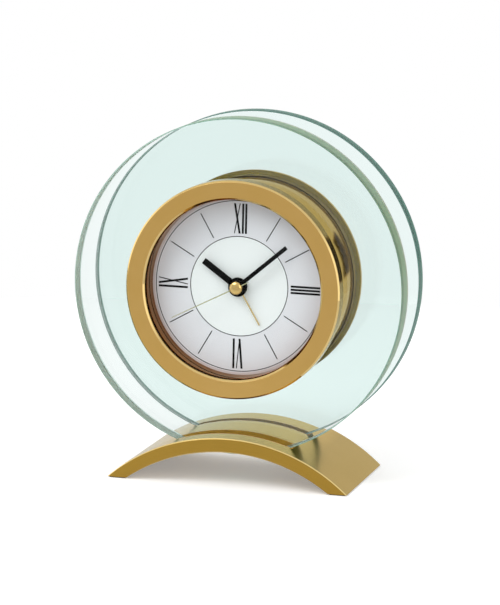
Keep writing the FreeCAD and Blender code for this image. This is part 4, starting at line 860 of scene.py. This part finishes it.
def makeFloor():
    # A pale round table top; camera, mirrored and refracted rays see it a little lighter.
    corners = floorLook["corners"]
    turn = np.linspace(0, 2 * math.pi, corners, endpoint=False)
    points = np.stack([np.sin(turn), np.cos(turn), np.zeros(corners)], -1) * floorLook["radius"]
    mesh = bpy.data.meshes.new("floor")
    mesh.from_pydata(points.tolist(), [], [list(range(corners))[::-1]])
    floor = bpy.data.objects.new("floor", mesh)
    bpy.context.scene.collection.objects.link(floor)
    material, wire = startLook("paleFloor")
    y = wire.add("TexCoord", output="Object").parts()[1]
    away = y.ramp(floorLook["farFrom"], floorLook["farTo"])
    matt = wire.add("BsdfDiffuse", None, {"Color": away.mix(floorLook["near"], floorLook["far"])})
    direct = wire.add("LightPath", output="Is Camera Ray")
    outputs = direct.socket.node.outputs
    near = 1.0 - away
    refracted = Wire(wire.tree, outputs["Is Transmission Ray"])
    seen = direct * (floorLook["lift"] + near * floorLook["nearLift"])
    seen = seen.most(refracted * (floorLook["through"] + near * floorLook["nearThrough"]))
    seen = seen.most(Wire(wire.tree, outputs["Is Glossy Ray"]) * floorLook["mirrored"])
    glow = wire.add("Emission", None, {"Color": white, "Strength": seen})
    both = wire.add("AddShader", None, {0: matt, 1: glow})
    wire.add("OutputMaterial", None, {"Surface": both})
    mesh.materials.append(material)


lamps = {
    "keyPanel": {"place": (-0.55, -0.75, 0.95), "width": 0.7, "height": 0.7, "power": 6.5},
    "fillPanel": {"place": (0.85, -0.95, 0.45), "width": 0.6, "height": 0.8, "power": 2.2},
}


def makeLamps():
    aim = Vector((axisX, 0, axisZ))
    for name, lamp in lamps.items():
        data = bpy.data.lights.new(name, "AREA")
        data.shape = "RECTANGLE"
        data.size = lamp["width"]
        data.size_y = lamp["height"]
        data.energy = lamp["power"]
        light = bpy.data.objects.new(name, data)
        bpy.context.scene.collection.objects.link(light)
        light.location = lamp["place"]
        light.rotation_mode = "QUATERNION"
        light.rotation_quaternion = (aim - light.location).to_track_quat("-Z", "Y")


# Camera: turned to the right of the dial and a little above it; across and up shift it beside its own axis
view = {"azimuth": 15.04, "elevation": 9.94, "roll": 1.2, "distance": 1506 * mm, "across": 6.02 * mm,
        "up": -6.45 * mm, "lens": 203.14, "sensor": 36.0, "nearest": 0.01, "farthest": 20}


def makeCamera():
    azimuth, elevation, roll = [math.radians(view[key]) for key in ("azimuth", "elevation", "roll")]
    back = Vector((math.sin(azimuth) * math.cos(elevation), -math.cos(azimuth) * math.cos(elevation),
                   math.sin(elevation)))
    right = Vector((math.cos(azimuth), math.sin(azimuth), 0))
    up = back.cross(right)
    rolledRight = right * math.cos(roll) + up * math.sin(roll)
    rolledUp = up * math.cos(roll) - right * math.sin(roll)
    data = bpy.data.cameras.new("photoCamera")
    data.sensor_fit = "VERTICAL"
    data.sensor_height = view["sensor"]
    data.sensor_width = view["sensor"]
    data.lens = view["lens"]
    data.clip_start = view["nearest"]
    data.clip_end = view["farthest"]
    camera = bpy.data.objects.new("photoCamera", data)
    bpy.context.scene.collection.objects.link(camera)
    turn = Matrix((rolledRight, rolledUp, back)).transposed().to_4x4()
    place = Vector((axisX, discFront, axisZ)) + back * view["distance"] + rolledRight * view["across"]
    camera.matrix_world = Matrix.Translation(place + rolledUp * view["up"]) @ turn
    bpy.context.scene.camera = camera


makeRoom()
makeFloor()
makeLamps()
makeCamera()
bpy.context.scene.view_settings.view_transform = "Standard"
print("studio made")
